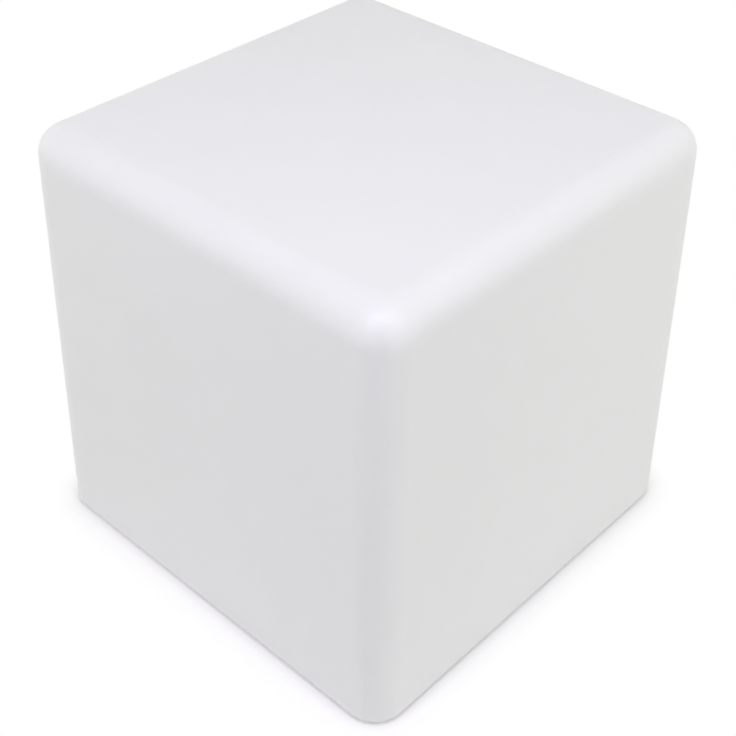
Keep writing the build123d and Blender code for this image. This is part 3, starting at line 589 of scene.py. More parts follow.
# %% [markdown]
# A metal finish is the mark of the tool that made it. Screws, inserts and the socket's pin are
# turned, so fine rings run round them: noise squeezed along the axis of the lamp draws such rings.
# Sheet aluminium is brushed, so its lines run along one direction. In both, the lines go into the
# roughness first, because that is what the eye sees as brushing, and only a little into relief.
# Where card or film covers a metal, the colour changes and the metal ends.


# %% Metals
line_gloss, gap_gloss = -0.08, 0.1
rings = (12, 12, 1)
along_x = (40, 1, 1)


def tooled_metal(slot, roughness, stretch, line, depth, swing=0.06):
    """Metal with fine lines of a given width, long along the axes that stretch makes long."""
    material, tree, shader = start_finish(slot, roughness, metallic=1.0)
    lines = clouds(tree, object_place(tree, stretch=stretch), line, detail=5.0)
    paint(tree, shader, lines, slot_colours[slot], swing)
    shine(tree, shader, lines, roughness + line_gloss, roughness + gap_gloss)
    relief(tree, shader, lines, depth)
    return material


def cover_metal(material, share, colour):
    """Card or film over a metal finish, wherever share is 1."""
    tree = material.node_tree
    repaint(material, share, colour)
    bare = calculate(tree, "SUBTRACT", 1.0, share)
    tree.links.new(bare, main_shader(material).inputs["Metallic"])


screw_steel = tooled_metal("screw_steel", 0.28, rings, line=0.12 * mm, depth=0.004 * mm)
brass = tooled_metal("brass", 0.3, rings, line=0.15 * mm, depth=0.006 * mm)
pin_nickel = tooled_metal("pin_nickel", 0.16, rings, line=0.1 * mm, depth=0.002 * mm)
spreader = tooled_metal("spreader_aluminium", 0.34, along_x, line=0.15 * mm, depth=0.004 * mm)
dress(screw_steel, "foot_screws", "base_screws", "housing_screws", "led_board_screws")
dress(screw_steel, "dome_screws", "board_screws", "cradle_screws")
dress(brass, "threaded_inserts")
dress(pin_nickel, "charge_pin")
dress(spreader, "heat_spreader")

# %% [markdown]
# A lithium cell is a nickel-plated steel can. At its positive end a white ring of card insulates
# the raised cap from the can's rolled edge. Here the ring is only a colour: a point belongs to it
# when it lies on the end face and its distance from the cell's axis is between two radii. There
# are two cells side by side, so the distance is to the nearer of their two axes.

# %% Cells
cell_low, cell_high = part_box("battery_cell_1")
cell_axis_y = abs(cell_low.y + cell_high.y) / 2
cell_axis_z = (cell_low.z + cell_high.z) / 2
ring_start = cell_high.x - 1.5 * mm
ring_inner, ring_outer = 3.5 * mm, 6.8 * mm
ring_card = (0.82, 0.8, 0.76, 1.0)
round_x = (1, 12, 12)


def ring_share(tree):
    """1 at the positive end, where the distance to the nearer cell's axis is between two radii."""
    place = xyz(tree, own_place(tree))
    beside = calculate(tree, "SUBTRACT", calculate(tree, "ABSOLUTE", place["Y"]), cell_axis_y)
    above = calculate(tree, "SUBTRACT", place["Z"], cell_axis_z)
    squares = [product(tree, value, value) for value in (beside, above)]
    radius = calculate(tree, "SQRT", calculate(tree, "ADD", *squares))
    outside = calculate(tree, "GREATER_THAN", radius, ring_inner)
    inside = calculate(tree, "LESS_THAN", radius, ring_outer)
    return product(tree, outside, inside, calculate(tree, "GREATER_THAN", place["X"], ring_start))


def cell_steel():
    """Nickel-plated can with lines round it, and a card ring at its positive end."""
    material = tooled_metal("cell_steel", 0.26, round_x, line=0.2 * mm, depth=0.003 * mm)
    cover_metal(material, ring_share(material.node_tree), ring_card)
    return material


dress(cell_steel(), "battery_cell_1", "battery_cell_2")
print("cell axes at y = +-", round(cell_axis_y / mm, 2), "mm")

# %% [markdown]
# The shrink sleeve on the pack is thin film, tight over the cells and puckered where it ends. The
# puckers are noise stretched along the pack, with a depth that grows towards both ends. The strap
# over it is woven tape: two sine waves, one across the tape and one along it, multiplied into a
# grid of ups and downs, which is what a plain weave is.

# %% Sleeve and strap
sleeve_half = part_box("battery_sleeve")[1].x
film_cloud, film_swing = 14 * mm, 0.12
film_coat = 0.3
pucker_length, pucker_width, pucker_depth = 7 * mm, 1.6 * mm, 0.35 * mm
pucker_stretch = (6, 1, 1)
thread_pitch, thread_depth = 0.7 * mm, 0.12 * mm
weave_spread, weave_swing = (-0.8, 0.8), 0.45
tape_sheen = 0.3


def sleeve_film():
    """Glossy film, smooth in the middle and puckered towards both ends."""
    material, tree, shader = start_finish("sleeve_film", roughness=0.2)
    place = object_place(tree)
    paint(tree, shader, clouds(tree, place, film_cloud), slot_colours["sleeve_film"], film_swing)
    far = calculate(tree, "ABSOLUTE", xyz(tree, place)["X"])
    near_end = band(tree, far, sleeve_half - pucker_length, sleeve_half)
    puckers = clouds(tree, object_place(tree, stretch=pucker_stretch), pucker_width)
    relief(tree, shader, product(tree, puckers, near_end), pucker_depth)
    shader.inputs["Coat Weight"].default_value = film_coat
    return material


def strap_fabric():
    """Plain-woven tape: sin(x) times sin(y + z), in threads of one pitch."""
    material, tree, shader = start_finish("strap_fabric", roughness=0.85)
    place = xyz(tree, object_place(tree))
    turns = 2 * pi / thread_pitch
    distances = (place["X"], calculate(tree, "ADD", place["Y"], place["Z"]))
    waves = [calculate(tree, "SINE", product(tree, distance, turns)) for distance in distances]
    weave = band(tree, product(tree, *waves), *weave_spread)
    paint(tree, shader, weave, slot_colours["strap_fabric"], weave_swing)
    relief(tree, shader, weave, thread_depth)
    shader.inputs["Sheen Weight"].default_value = tape_sheen
    return material


dress(sleeve_film(), "battery_sleeve")
dress(strap_fabric(), "battery_strap")

# %% [markdown]
# A circuit board shows its copper as raised lines under the green mask. Real tracks run straight
# and turn only now and then. The pattern here cuts the board into small squares and lets a random
# number for each square choose whether its track runs one way, the other way or not at all, so
# tracks join, end and turn as on a real board.

# %% Copper tracks
track_grid = 1.6 * mm
track_half_share = 0.14
first_above, second_below = 0.55, 0.42


def stripe(tree, distance):
    """1 on a line down the middle of every square of the track grid."""
    share = calculate(tree, "FRACT", calculate(tree, "DIVIDE", distance, track_grid))
    off_middle = calculate(tree, "ABSOLUTE", calculate(tree, "SUBTRACT", share, 0.5))
    return calculate(tree, "LESS_THAN", off_middle, track_half_share)


def tracks(tree, place, first_axis, second_axis):
    """1 where there is copper: each square takes a line along one axis, the other or none."""
    square = calculate_place(tree, "SNAP", place, (track_grid,) * 3)
    chance = add_node(tree, "TexWhiteNoise", {"Vector": square}).outputs["Value"]
    across = xyz(tree, place)
    takes_first = calculate(tree, "GREATER_THAN", chance, first_above)
    takes_second = calculate(tree, "LESS_THAN", chance, second_below)
    first = product(tree, stripe(tree, across[first_axis]), takes_first)
    second = product(tree, stripe(tree, across[second_axis]), takes_second)
    return calculate(tree, "MAXIMUM", first, second)


print("squares for tracks:", round(track_grid / mm, 2), "mm wide")

# %% [markdown]
# The mask is darker between the tracks and lighter over them, and the sawn edges show the bare,
# yellowish glass. The control board lies flat, with its faces towards Z, and the cells' own board
# stands up, with its faces towards X, so the finish is told which axis its faces look along. The
# squares are drawn out a thousand times along that axis, so that both faces have the same ones.

# %% Circuit boards
mask_shade, copper_shade = 0.75, 1.5
bare_glass = (0.42, 0.38, 0.2, 1.0)
glass_weave, weave_share = 0.5 * mm, 0.25
copper_rise = 0.035 * mm
flat_stretch = 1000.0


def circuit_board(face_axis, first_axis, second_axis):
    """Green mask over raised copper tracks, with bare glass on the sawn edges."""
    material, tree, shader = start_finish("circuit_board", roughness=0.32)
    flatten = tuple(flat_stretch if axis == face_axis else 1.0 for axis in "XYZ")
    copper = tracks(tree, object_place(tree, stretch=flatten), first_axis, second_axis)
    green = slot_colours["circuit_board"]
    mask = mix(tree, copper, shade(green, mask_shade), shade(green, copper_shade))
    normal = add_node(tree, "NewGeometry").outputs["True Normal"]
    towards = calculate(tree, "ABSOLUTE", xyz(tree, normal)[face_axis])
    face = calculate(tree, "GREATER_THAN", towards, 0.5)
    two_tones(tree, shader, face, bare_glass, mask)
    weave = product(tree, clouds(tree, object_place(tree), glass_weave), weave_share)
    relief(tree, shader, calculate(tree, "ADD", copper, weave), copper_rise)
    return material


dress(circuit_board("Z", "X", "Y"), "control_board")
dress(circuit_board("X", "Y", "Z"), "protection_board")

# %% [markdown]
# The LED board is aluminium under white mask, to throw the light back. Its copper lies in rings,
# one pair beside each ring of LEDs, and lifts the mask by a hair. The rings come from the
# distance to the lamp's axis: near a ring's radius the height steps up.

# %% LED board
led_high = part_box("led_emitters")[1]
led_half = 2.5 * mm
outer_ring = led_high.x - led_half
inner_ring = outer_ring / 2
copper_offset = 3.6 * mm
copper_half_width = 0.45 * mm
copper_flat_share = 0.7
copper_swing = -0.04
dust_size, dust_share = 0.4 * mm, 0.2
ring_rise = 0.05 * mm


def led_board_white():
    """White mask with raised copper rings beside the LEDs."""
    material, tree, shader = start_finish("led_board_white", roughness=0.35)
    place = object_place(tree)
    radius = from_axis(tree, place)
    raised = 0.0
    for ring in (inner_ring, outer_ring):
        for side in (-1, 1):
            away = calculate(tree, "SUBTRACT", radius, ring + side * copper_offset)
            near = calculate(tree, "ABSOLUTE", away)
            line = band(tree, near, copper_half_width, copper_half_width * copper_flat_share)
            raised = calculate(tree, "MAXIMUM", raised, line)
    paint(tree, shader, raised, slot_colours["led_board_white"], copper_swing)
    dust = product(tree, clouds(tree, place, dust_size), dust_share)
    relief(tree, shader, calculate(tree, "ADD", raised, dust), ring_rise)
    return material


dress(led_board_white(), "led_board")
print("LED rings at", round(inner_ring / mm, 2), "and", round(outer_ring / mm, 2), "mm")

# %% [markdown]
# Clear and milky parts are glass shaders held back. The dome over the LEDs is milky acrylic: part
# of the light goes through, and part scatters inside the wall, so no LED shows as a point. The
# status window is clear acrylic with faint polishing clouds.


# %% Clear and milky plastics
acrylic_ior = 1.49
haze_swing = 0.04
flow_swing = 0.03
ripple_share, ripple_depth = 0.25, 0.01 * mm


def clear_plastic(slot, roughness, transmission, flow):
    """Acrylic: partly clear, with faint clouds where the melt has flowed."""
    material, tree, shader = start_finish(slot, roughness)
    place = object_place(tree)
    melt = clouds(tree, place, flow)
    paint(tree, shader, melt, slot_colours[slot], flow_swing)
    relief(tree, shader, clouds(tree, place, flow * ripple_share), ripple_depth)
    shine(tree, shader, melt, roughness - haze_swing, roughness + haze_swing)
    shader.inputs["Transmission Weight"].default_value = transmission
    shader.inputs["IOR"].default_value = acrylic_ior
    return material


dome_finish = clear_plastic("dome_plastic", 0.3, transmission=0.35, flow=18 * mm)
window_finish = clear_plastic("window_clear", 0.08, transmission=0.9, flow=2 * mm)
dress(dome_finish, "diffuser_dome")
dress(window_finish, "status_window")

# %% [markdown]
# The small black parts are epoxy, moulded round a chip, with a sandy grain. Ferrite is pressed
# and fired powder, so it is coarser and duller. The LED cases are white and smooth.
# All are so small that one grain size in tenths of a millimetre carries the whole look.

# %% Electronic parts
chip_finish = moulded_plastic("chip_plastic", 0.5, grain=0.18 * mm, depth=0.012 * mm, swing=0.25)
ferrite = moulded_plastic("ferrite", 0.7, grain=0.3 * mm, depth=0.04 * mm, swing=0.25)
case_cream = (0.84, 0.83, 0.79, 1.0)
case_white = (0.88, 0.87, 0.84, 1.0)
case_cloud = 2 * mm


def led_case():
    """Smooth white plastic, a little creamier in soft clouds."""
    material = moulded_plastic("led_resin", 0.3, grain=0.4 * mm, depth=0.005 * mm)
    tree = material.node_tree
    cream = clouds(tree, object_place(tree), case_cloud)
    two_tones(tree, main_shader(material), cream, case_cream, case_white)
    return material


dress(chip_finish, "controller_chip", "power_transistors", "switch_body")
dress(ferrite, "charge_inductor")
dress(led_case(), "led_emitters", "status_led")

# %% [markdown]
# The insulation on a lead is drawn through a die, so its surface is smooth, with slow swells in
# its colour and its shine. The leads here run along x, upwards and round bends, so no pattern
# with a direction of its own would suit them all. Clouds wider than the wire look the same from
# any side, and finer ones with hardly any depth break up the shine.


# %% Leads
drawn_size, drawn_swing = 3 * mm, 0.07
drawn_smooth, drawn_dull = 0.3, 0.42
scuff_size, scuff_depth = 0.8 * mm, 0.02 * mm


def lead_insulation(slot):
    """Smooth coloured insulation with slow clouds and a soft shine."""
    material, tree, shader = start_finish(slot, roughness=0.35)
    place = object_place(tree)
    drawn = clouds(tree, place, drawn_size, detail=1.0)
    paint(tree, shader, drawn, slot_colours[slot], drawn_swing)
    shine(tree, shader, drawn, drawn_smooth, drawn_dull)
    relief(tree, shader, clouds(tree, place, scuff_size, detail=1.0), scuff_depth)
    return material


dress(lead_insulation("lead_red"), "battery_leads")
dress(lead_insulation("lead_white"), "led_leads")

# %% [markdown]
# The button is the one part that a finger looks for, so its engraved symbol is filled with dark
# blue-grey paint. Paint settles in the engraving: a point is painted when it lies above the
# button's face, no higher than the engraving is deep, and close to the button's axis. The rest is
# satin plastic.

# %% Button
button_low, button_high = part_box("power_button")
button_middle = (button_low + button_high) / 2
symbol_depth = 0.3 * mm
symbol_reach = 4.2 * mm
symbol_paint = (0.09, 0.12, 0.2, 1.0)
paint_line = button_low.z + 0.4 * symbol_depth
paint_top = button_low.z + 1.2 * symbol_depth


def button_plastic():
    """Satin plastic with paint in the engraved symbol."""
    material = moulded_plastic("button_plastic", 0.34, grain=0.5 * mm, depth=0.01 * mm, swing=0.03)
    tree = material.node_tree
    place = object_place(tree, centre=(button_middle.x, button_middle.y, 0))
    height = xyz(tree, place)["Z"]
    inside = calculate(tree, "LESS_THAN", from_axis(tree, place), symbol_reach)
    sunk = calculate(tree, "GREATER_THAN", height, paint_line)
    low_enough = calculate(tree, "LESS_THAN", height, paint_top)
    repaint(material, product(tree, inside, sunk, low_enough), symbol_paint)
    return material


dress(button_plastic(), "power_button")

# %% [markdown]
# New forms are surfaces worked out with numpy. Points lie on a grid with rows and columns, and
# each face joins four neighbours, so a face is four index sums. A direction that closes on
# itself, like the way round a foot, wraps its last points to its first.


# %% Surfaces from grids
def grid_faces(rows, columns, close_rows=False, close_columns=False):
    """Every face of a grid: point (r, c), its neighbour in the row, and the two below them."""
    row = np.arange(rows if close_rows else rows - 1)[:, None]
    column = np.arange(columns if close_columns else columns - 1)[None, :]
    below, beside = (row + 1) % rows, (column + 1) % columns
    corner_numbers = (
        row * columns + column,
        row * columns + beside,
        below * columns + beside,
        below * columns + column,
    )
    return np.stack(np.broadcast_arrays(*corner_numbers), axis=-1).reshape(-1, 4)


def repeated(surface, places):
    """One surface at many places: each place is added to all points, and the faces count on."""
    points, faces = surface
    places = np.asarray(places, float)
    moved = points[None] + places[:, None]
    counted = faces[None] + len(points) * np.arange(len(places))[:, None, None]
    return moved.reshape(-1, 3), counted.reshape(-1, faces.shape[1])


def joined(*surfaces):
    """Several surfaces as one: their points in a row, and their faces counted on."""
    starts = np.cumsum([0] + [len(points) for points, _ in surfaces])
    points = np.concatenate([points for points, _ in surfaces])
    return points, np.concatenate([faces + start for (_, faces), start in zip(surfaces, starts)])


# %% [markdown]
# A surface becomes a piece in one place. Points that fall together, at a pole or a seam, are
# merged, faces are turned outwards, and edges sharper than a limit stay crisp under smooth
# shading. The piece then rides on the body that carries it, and names its slot.

# %% Making a piece
import bmesh

merge_distance = 1e-7
crisp_angle = radians(32)


def make_piece(name, surface, body, material):
    """A closed mesh piece from points and faces, riding on a body, in a slot's finish."""
    points, faces = surface
    mesh = bpy.data.meshes.new(name)
    mesh.from_pydata(points.tolist(), [], faces.tolist())
    work = bmesh.new()
    work.from_mesh(mesh)
    bmesh.ops.remove_doubles(work, verts=work.verts, dist=merge_distance)
    bmesh.ops.recalc_face_normals(work, faces=work.faces)
    open_edges = sum(not edge.is_manifold for edge in work.edges)
    work.to_mesh(mesh)
    work.free()
    mesh.shade_smooth()
    mesh.set_sharp_from_angle(angle=crisp_angle)
    mesh.materials.append(material)
    piece = bpy.data.objects.new(name, mesh)
    scene.collection.objects.link(piece)
    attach(piece, body)
    print(name, "has", len(mesh.polygons), "faces and", open_edges, "open edges")
    return piece


# %% [markdown]
# A foot, a lens and a can are turned shapes: a profile carried round an upright axis, as on a
# lathe. The profile is a list of radii and heights, and every point of it draws one circle.


# %% Turned shapes
def turned(profile, steps=72, closed=True):
    """Points (r cos a, r sin a, h) for every angle a and every (r, h) of the profile."""
    profile = np.asarray(profile, float)
    angle = np.arange(steps)[:, None] * (2 * pi / steps)
    radius, height = profile[None, :, 0], profile[None, :, 1] + 0 * angle
    points = np.stack([radius * np.cos(angle), radius * np.sin(angle), height], axis=-1)
    return points.reshape(-1, 3), grid_faces(steps, len(profile), True, closed)


# %% [markdown]
# The sole of each foot has three grooves that keep it from sliding on a wet terrace. In the
# profile the sole's height is zero, and at a groove it rises and falls as half a cosine wave. The
# packed foot has a plain sole, so the new piece stands for it and keeps its outer size, its
# bevel, its counterbore and its screw hole.

# %% Grooved feet
foot_low, foot_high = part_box("foot_front_right")
foot_radius = (foot_high.x - foot_low.x) / 2
foot_top = foot_high.z
foot_bevel = 1.0 * mm
sink_radius, sink_depth = 5.5 * mm, 3.0 * mm
screw_hole = 2.05 * mm
groove_radii = np.array([7.6, 10.2, 12.8]) * mm
groove_half_width = 0.7 * mm
groove_depth = 0.8 * mm
sole_points = 61


def sole(radius):
    """Height of the sole: depth (1 + cos) / 2 within a groove's half width, else nothing."""
    off = np.abs(radius[:, None] - groove_radii[None]) / groove_half_width
    return groove_depth * (0.5 + 0.5 * np.cos(pi * np.minimum(off, 1.0))).sum(axis=1)


sole_radii = np.linspace(foot_radius - foot_bevel, sink_radius, sole_points)
foot_profile = [(screw_hole, foot_top), (foot_radius, foot_top), (foot_radius, foot_bevel)]
foot_profile += list(zip(sole_radii, sole(sole_radii)))
foot_profile += [(sink_radius, sink_depth), (screw_hole, sink_depth)]
foot_surface = turned(foot_profile)
for foot in feet:
    low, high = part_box(foot)
    middle = ((low.x + high.x) / 2, (low.y + high.y) / 2, 0)
    grooved = repeated(foot_surface, [middle])
    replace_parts(make_piece("grooved_" + foot, grooved, "lamp", foot_rubber), foot)

# %% [markdown]
# Where the two halves of the shell's mould met, the plastic left a fine raised line. It runs
# round the underside, a little in from the edge, where nobody sees it. Its path is a square with
# round corners: a circle cut into four and pulled apart, so that x is the sign of cos t times the
# straight half, plus r cos t. The line's section is half an ellipse hanging from the surface.

# %% Mould line
line_half_side = 190 * mm
line_corner = 20 * mm
line_half_width = 0.6 * mm
line_drop = 0.35 * mm
root = 0.1 * mm
shell_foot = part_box("cube_shell")[0].z


def bead(half_width, drop, across=10):
    """How far out and how far down each point is of a half ellipse rooted in the surface."""
    s = np.linspace(0, pi, across)
    out = np.concatenate([half_width * np.cos(s), [-half_width, half_width]])
    down = np.concatenate([drop * np.sin(s), [-root, -root]])
    return out, down


def mould_line(steps=128):
    """The bead carried round the pulled-apart circle."""
    out, down = bead(line_half_width, line_drop)
    t = ((np.arange(steps) + 0.5) * 2 * pi / steps)[:, None]
    straight = line_half_side - line_corner
    waves = (np.cos(t), np.sin(t))
    x, y = [np.sign(wave) * straight + (line_corner + out) * wave for wave in waves]
    points = np.stack([x, y, shell_foot - down + 0 * t], axis=-1)
    return points.reshape(-1, 3), grid_faces(steps, len(out), True, True)


make_piece("mould_line", mould_line(), "lamp", milky_shell)

# %% [markdown]
# Small square parts are never sharp-edged boxes. A rounded block is a ball cut into eight and
# pulled apart to the block's size: each point is the corner that its eighth belongs to, plus the
# radius times its direction. The grip ribs on the charging cover, the coil's case, the resistors
# and the capacitors on the board all use it.


# %% Rounded blocks
def rounded_block(size, radius, around=16, up=8):
    """sign(n) (size / 2 - radius) + radius n, for every direction n of a ball."""
    turn = ((np.arange(around) + 0.5) * 2 * pi / around)[None]
    rise = np.linspace(-pi / 2, pi / 2, up)[:, None]
    x, y = np.cos(rise) * np.cos(turn), np.cos(rise) * np.sin(turn)
    normal = np.stack([x, y, np.sin(rise) + 0 * turn], axis=-1)
    signs = (np.sign(np.cos(turn)), np.sign(np.sin(turn)), np.sign(rise))
    eighth = np.stack(np.broadcast_arrays(*signs), axis=-1)
    points = eighth * (np.asarray(size) / 2 - radius) + radius * normal
    # at a pole each quarter's points fall together, so one of each makes the flat end
    quarter = around // 4 * np.arange(4) + around // 8
    ends = np.stack([quarter, (up - 1) * around + quarter])
    faces = np.concatenate([grid_faces(up, around, False, True), ends])
    return points.reshape(-1, 3), faces


# %% [markdown]
# The charging cover is opened by its tab with a fingertip. Three ribs give the nail a hold, and a
# raised ring shows where to press it shut. Both stand on the cover's outer face, so they ride on
# the cover and swing with it.

# %% Grip on the charging cover
cover_face = 11.65 * mm
cover_axis_x = -16 * mm
cover_ring_radius = 6.0 * mm
cover_ring_half_width = 0.45 * mm
cover_relief = 0.4 * mm
rib_size = np.array([0.55, 4.6, 0.8]) * mm
rib_round = 0.25 * mm
rib_offsets = np.array([1.1, 2.2, 3.3]) * mm
tab_end_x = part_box("charge_cover")[1].x


def cover_grip():
    """The pressing ring and the three ribs on the tab."""
    out, down = bead(cover_ring_half_width, cover_relief)
    ring = turned(np.stack([cover_ring_radius + out, -down], axis=-1))
    ribs = [(tab_end_x - offset, 0, cover_face) for offset in rib_offsets]
    return joined(
        repeated(ring, [(cover_axis_x, 0, cover_face)]),
        repeated(rounded_block(rib_size, rib_round), ribs),
    )


make_piece("cover_grip", cover_grip(), "charge_cover", cover_rubber)

# %% [markdown]
# Each LED is a white case with a round well, filled with clear resin that holds a yellow
# phosphor. The resin stands in the well as a low lens, h (1 - (r / R)^2) high. The LEDs are in
# two rings, so one lens is repeated at the angles of both.

# %% LED lenses
lens_radius = 1.92 * mm
lens_rise = 0.22 * mm
lens_rows, lens_steps = 9, 24
well_depth = 0.3 * mm
ring_counts = ((outer_ring, 16), (inner_ring, 8))
phosphor = clear_plastic("led_resin", 0.12, transmission=0.0, flow=1.2 * mm)
phosphor.name = "led_phosphor"


def led_lens():
    """A low paraboloid over a flat base, as a turned profile."""
    radii = np.linspace(lens_radius, 0, lens_rows)
    heights = lens_rise * (1 - (radii / lens_radius) ** 2)
    base = [(0, -root / 2), (lens_radius, -root / 2)]
    profile = np.concatenate([base, np.stack([radii, heights], axis=-1)])
    return turned(profile, lens_steps, False)


def led_places():
    """The middle of every LED's well, ring by ring."""
    height = led_high.z - well_depth
    for radius, count in ring_counts:
        for step in range(count):
            angle = 2 * pi * step / count
            yield radius * cos(angle), radius * sin(angle), height


lenses = repeated(led_lens(), list(led_places()))
make_piece("led_lenses", lenses, "lamp", phosphor)

# %% [markdown]
# A part on a circuit board stands on bent legs. A leg is a strip that follows a path out of the
# case, down and out again. Each point of the path becomes four, up and down by half a thickness
# and to both sides by half a width, and the strip's two ends are closed.


# %% Bent legs
leg_thickness = 0.18 * mm
foot_level = 0.1 * mm


def bent_strip(path, width, thickness):
    """A strip along a path of (out, up) points, with out along x."""
    path = np.asarray(path, float)
    corner_side = np.array([-1, 1, 1, -1]) * width / 2
    corner_up = np.array([-1, -1, 1, 1]) * thickness / 2
    out = path[:, :1] + 0 * corner_up
    points = np.stack([out, corner_side + 0 * out, path[:, 1:] + corner_up], axis=-1)
    ends = np.arange(4) + np.array([[0], [4 * len(path) - 4]])
    return points.reshape(-1, 3), np.concatenate([grid_faces(len(path), 4, False, True), ends])


def quarter_turned(surface, quarters):
    """A surface turned about the upright axis by a number of right angles."""
    points, faces = surface
    c, s = round(cos(quarters * pi / 2)), round(sin(quarters * pi / 2))
    return points @ np.array([[c, s, 0], [-s, c, 0], [0, 0, 1]]), faces


def legs(box, side, count, pitch, width, reach):
    """A row of legs on one side of a part: side counts right angles from +x."""
    low, high = box
    middle = (low + high) / 2
    half = (high.x - low.x) / 2 if side % 2 == 0 else (high.y - low.y) / 2
    waist = (high.z - low.z) / 2
    inside, shoulder, heel = -0.3 * reach, 0.3 * reach, 0.5 * reach
    path = [(inside, waist), (shoulder, waist), (heel, foot_level), (reach, foot_level)]
    leg = bent_strip(path, width, leg_thickness)
    rows = (np.arange(count) - (count - 1) / 2) * pitch
    row = repeated(leg, [(half, offset, 0) for offset in rows])
    return repeated(quarter_turned(row, side), [(middle.x, middle.y, low.z)])


# %% [markdown]
# The controller has nine fine legs on each of its four sides. A power transistor has three legs in
# front and a broad metal tab behind, which carries its heat into the board. The three transistors
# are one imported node, a row along x, so each one's box is a share of the row's.

# %% Legs and tabs
chip_legs = {"count": 9, "pitch": 0.8 * mm, "width": 0.35 * mm, "reach": 1.1 * mm}
transistor_legs = {"count": 3, "pitch": 1.8 * mm, "width": 0.8 * mm, "reach": 1.1 * mm}
front_side = 3
transistor_count = 3
transistor_length = 6 * mm
tab_size, tab_round = np.array([4.4, 2.4, 0.7]) * mm, 0.1 * mm
board_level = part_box("control_board")[1].z


def transistor_boxes():
    """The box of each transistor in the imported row."""
    low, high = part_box("power_transistors")
    starts = np.linspace(low.x, high.x - transistor_length, transistor_count)
    for start in starts:
        yield Vector((start, low.y, low.z)), Vector((start + transistor_length, high.y, high.z))


def all_legs():
    """The legs of the controller and of the transistors, and the transistors' tabs."""
    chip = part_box("controller_chip")
    rows = [legs(chip, side, **chip_legs) for side in range(4)]
    for low, high in transistor_boxes():
        rows.append(legs((low, high), front_side, **transistor_legs))
        tab_place = ((low.x + high.x) / 2, high.y, board_level + tab_size[2] / 2)
        rows.append(repeated(rounded_block(tab_size, tab_round), [tab_place]))
    return joined(*rows)


make_piece("component_legs", all_legs(), "lamp", pin_nickel)

# %% [markdown]
# Resistors and small capacitors fill the free part of the board, in rows between the controller
# and the battery connector. Each is a rounded block with two metal ends, and the ends are blocks
# a hair larger than the body. Every second row holds capacitors, which are tan and a little
# taller.

# %% Small parts
small_part, small_round = np.array([2.0, 1.25, 0.6]) * mm, 0.1 * mm
capacitor_part, capacitor_round = np.array([2.0, 1.25, 0.95]) * mm, 0.12 * mm
end_cap_length, end_cap_round = 0.45 * mm, 0.08 * mm
hair = 0.04 * mm
small_columns = np.array([11.5, 15.0, 18.5]) * mm
resistor_rows = np.array([-12.5, -7.5, 5.5, 10.5]) * mm
capacitor_rows = np.array([-10.0, -5.0, 8.0]) * mm


def part_places(rows, height):
    """The middle of every part in some rows, standing on the board."""
    return [(x, y, board_level + height / 2) for y in rows for x in small_columns]


def end_caps(size, places):
    """A metal cap at each end of every part."""
    cap = rounded_block((end_cap_length, size[1] + hair, size[2] + hair), end_cap_round)
    shift = (size[0] - end_cap_length + hair) / 2
    return repeated(cap, [(x + side * shift, y, z) for x, y, z in places for side in (-1, 1)])


resistor_places = part_places(resistor_rows, small_part[2])
capacitor_places = part_places(capacitor_rows, capacitor_part[2])
resistors = repeated(rounded_block(small_part, small_round), resistor_places)
small_capacitors = repeated(rounded_block(capacitor_part, capacitor_round), capacitor_places)
resistor_ends = end_caps(small_part, resistor_places)
capacitor_ends = end_caps(capacitor_part, capacitor_places)
make_piece("resistors", resistors, "lamp", chip_finish)
make_piece("ceramic_capacitors", small_capacitors, "lamp", plunger_finish)
metal_ends = joined(resistor_ends, capacitor_ends)
make_piece("metal_ends", metal_ends, "lamp", pin_nickel)

# %% [markdown]
# The charging coil sits in a pressed ferrite case with well rounded edges. It is one more rounded
# block, with more points so that its corners look smooth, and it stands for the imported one.

# %% Coil
coil_low, coil_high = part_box("charge_inductor")
coil_round = 1.1 * mm
coil_case = rounded_block(tuple(coil_high - coil_low), coil_round, around=32, up=12)
coil = repeated(coil_case, [tuple((coil_low + coil_high) / 2)])
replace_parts(make_piece("coil_case", coil, "lamp", ferrite), "charge_inductor")

# %% [markdown]
# The big capacitor hangs under the board: an aluminium can in a plastic sleeve. Its profile has a
# groove near the board, where the rubber bung is crimped, a rounded lower edge, and a pressed-in
# ring on its end that opens if the can ever bursts.

# %% Capacitor profile
can_low, can_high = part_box("filter_capacitor")
can_middle = (can_low + can_high) / 2
can_radius = (can_high.x - can_low.x) / 2
can_length = can_high.z - can_low.z
can_round = 0.7 * mm
crimp_depth, crimp_half_length, crimp_place = 0.45 * mm, 0.8 * mm, 2.2 * mm
vent_radius, vent_depth = 2.1 * mm, 0.15 * mm
end_points, edge_points, side_points = 25, 7, 40


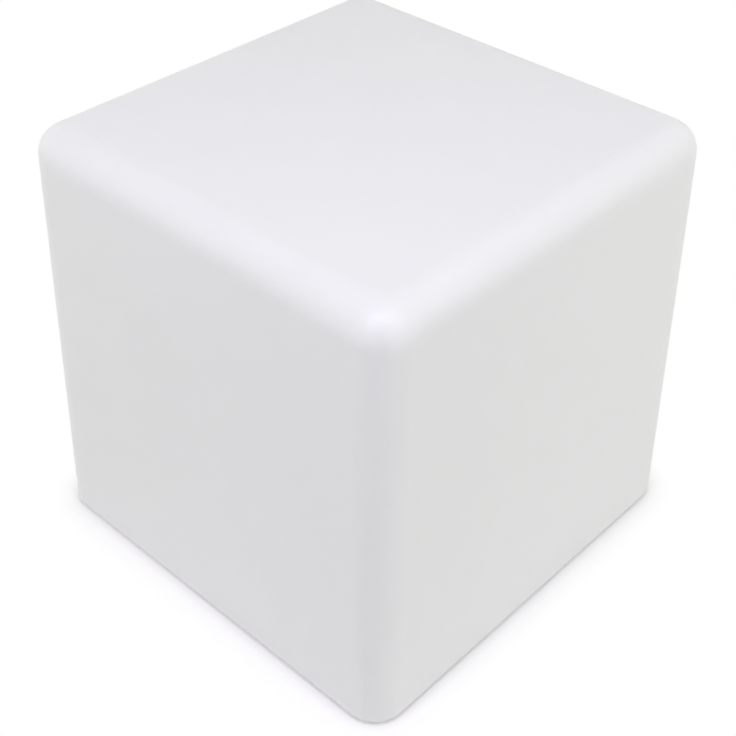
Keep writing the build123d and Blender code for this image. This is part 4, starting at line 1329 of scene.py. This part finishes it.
def can_profile():
    """From the end's middle out over the vent ring, round the edge, up and in over the crimp."""
    end_radii = np.linspace(0, can_radius - can_round, end_points)
    groove = np.clip(1 - np.abs(end_radii - vent_radius) / (2 * vent_depth), 0, 1) * vent_depth
    turn = np.linspace(-pi / 2, 0, edge_points)
    edge = can_radius - can_round + can_round * np.cos(turn), can_round + can_round * np.sin(turn)
    heights = np.linspace(can_round, can_length, side_points + 1)[1:]
    from_crimp = (heights - (can_length - crimp_place)) / crimp_half_length
    waist = crimp_depth * (0.5 + 0.5 * np.cos(pi * np.clip(from_crimp, -1, 1)))
    radii = np.concatenate([end_radii, edge[0], can_radius - waist, [0]])
    ups = np.concatenate([groove, edge[1], heights, [can_length]])
    return np.stack([radii, ups], axis=-1)


print("can in mm:", round(2 * can_radius / mm, 2), "across,", round(can_length / mm, 2), "long")

# %% [markdown]
# The sleeve covers the can's side and laps a little over its end, and the bare aluminium shows
# inside that. A pale stripe runs down one side and marks the negative leg. Both are painted by
# place: the end by its height and its radius, and the stripe by which side of the axis it is on.

# %% Capacitor finish
sleeve_lap = 3.1 * mm
sleeve_colour = (0.03, 0.035, 0.06, 1.0)
stripe_half_width = 1.1 * mm
stripe_colour = (0.6, 0.62, 0.65, 1.0)
can_rings = (6, 6, 1)
can_steps = 48


def capacitor_can():
    """Dark sleeve with a pale stripe, and brushed aluminium on the bare end."""
    can = tooled_metal("capacitor_can", 0.3, can_rings, line=0.15 * mm, depth=0.003 * mm)
    tree = can.node_tree
    place = object_place(tree, centre=tuple(can_middle))
    across = xyz(tree, place)
    from_middle = calculate(tree, "ABSOLUTE", across["X"])
    in_stripe = calculate(tree, "LESS_THAN", from_middle, stripe_half_width)
    one_side = calculate(tree, "GREATER_THAN", across["Y"], 0.0)
    sleeve = mix(tree, product(tree, in_stripe, one_side), sleeve_colour, stripe_colour)
    sleeved = calculate(tree, "GREATER_THAN", from_axis(tree, place), sleeve_lap)
    cover_metal(can, sleeved, sleeve)
    return can


can_finish = capacitor_can()
can_surface = turned(can_profile(), can_steps, False)
can_piece = repeated(can_surface, [(can_middle.x, can_middle.y, can_low.z)])
can = make_piece("capacitor_can", can_piece, "lamp", can_finish)
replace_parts(can, "filter_capacitor")
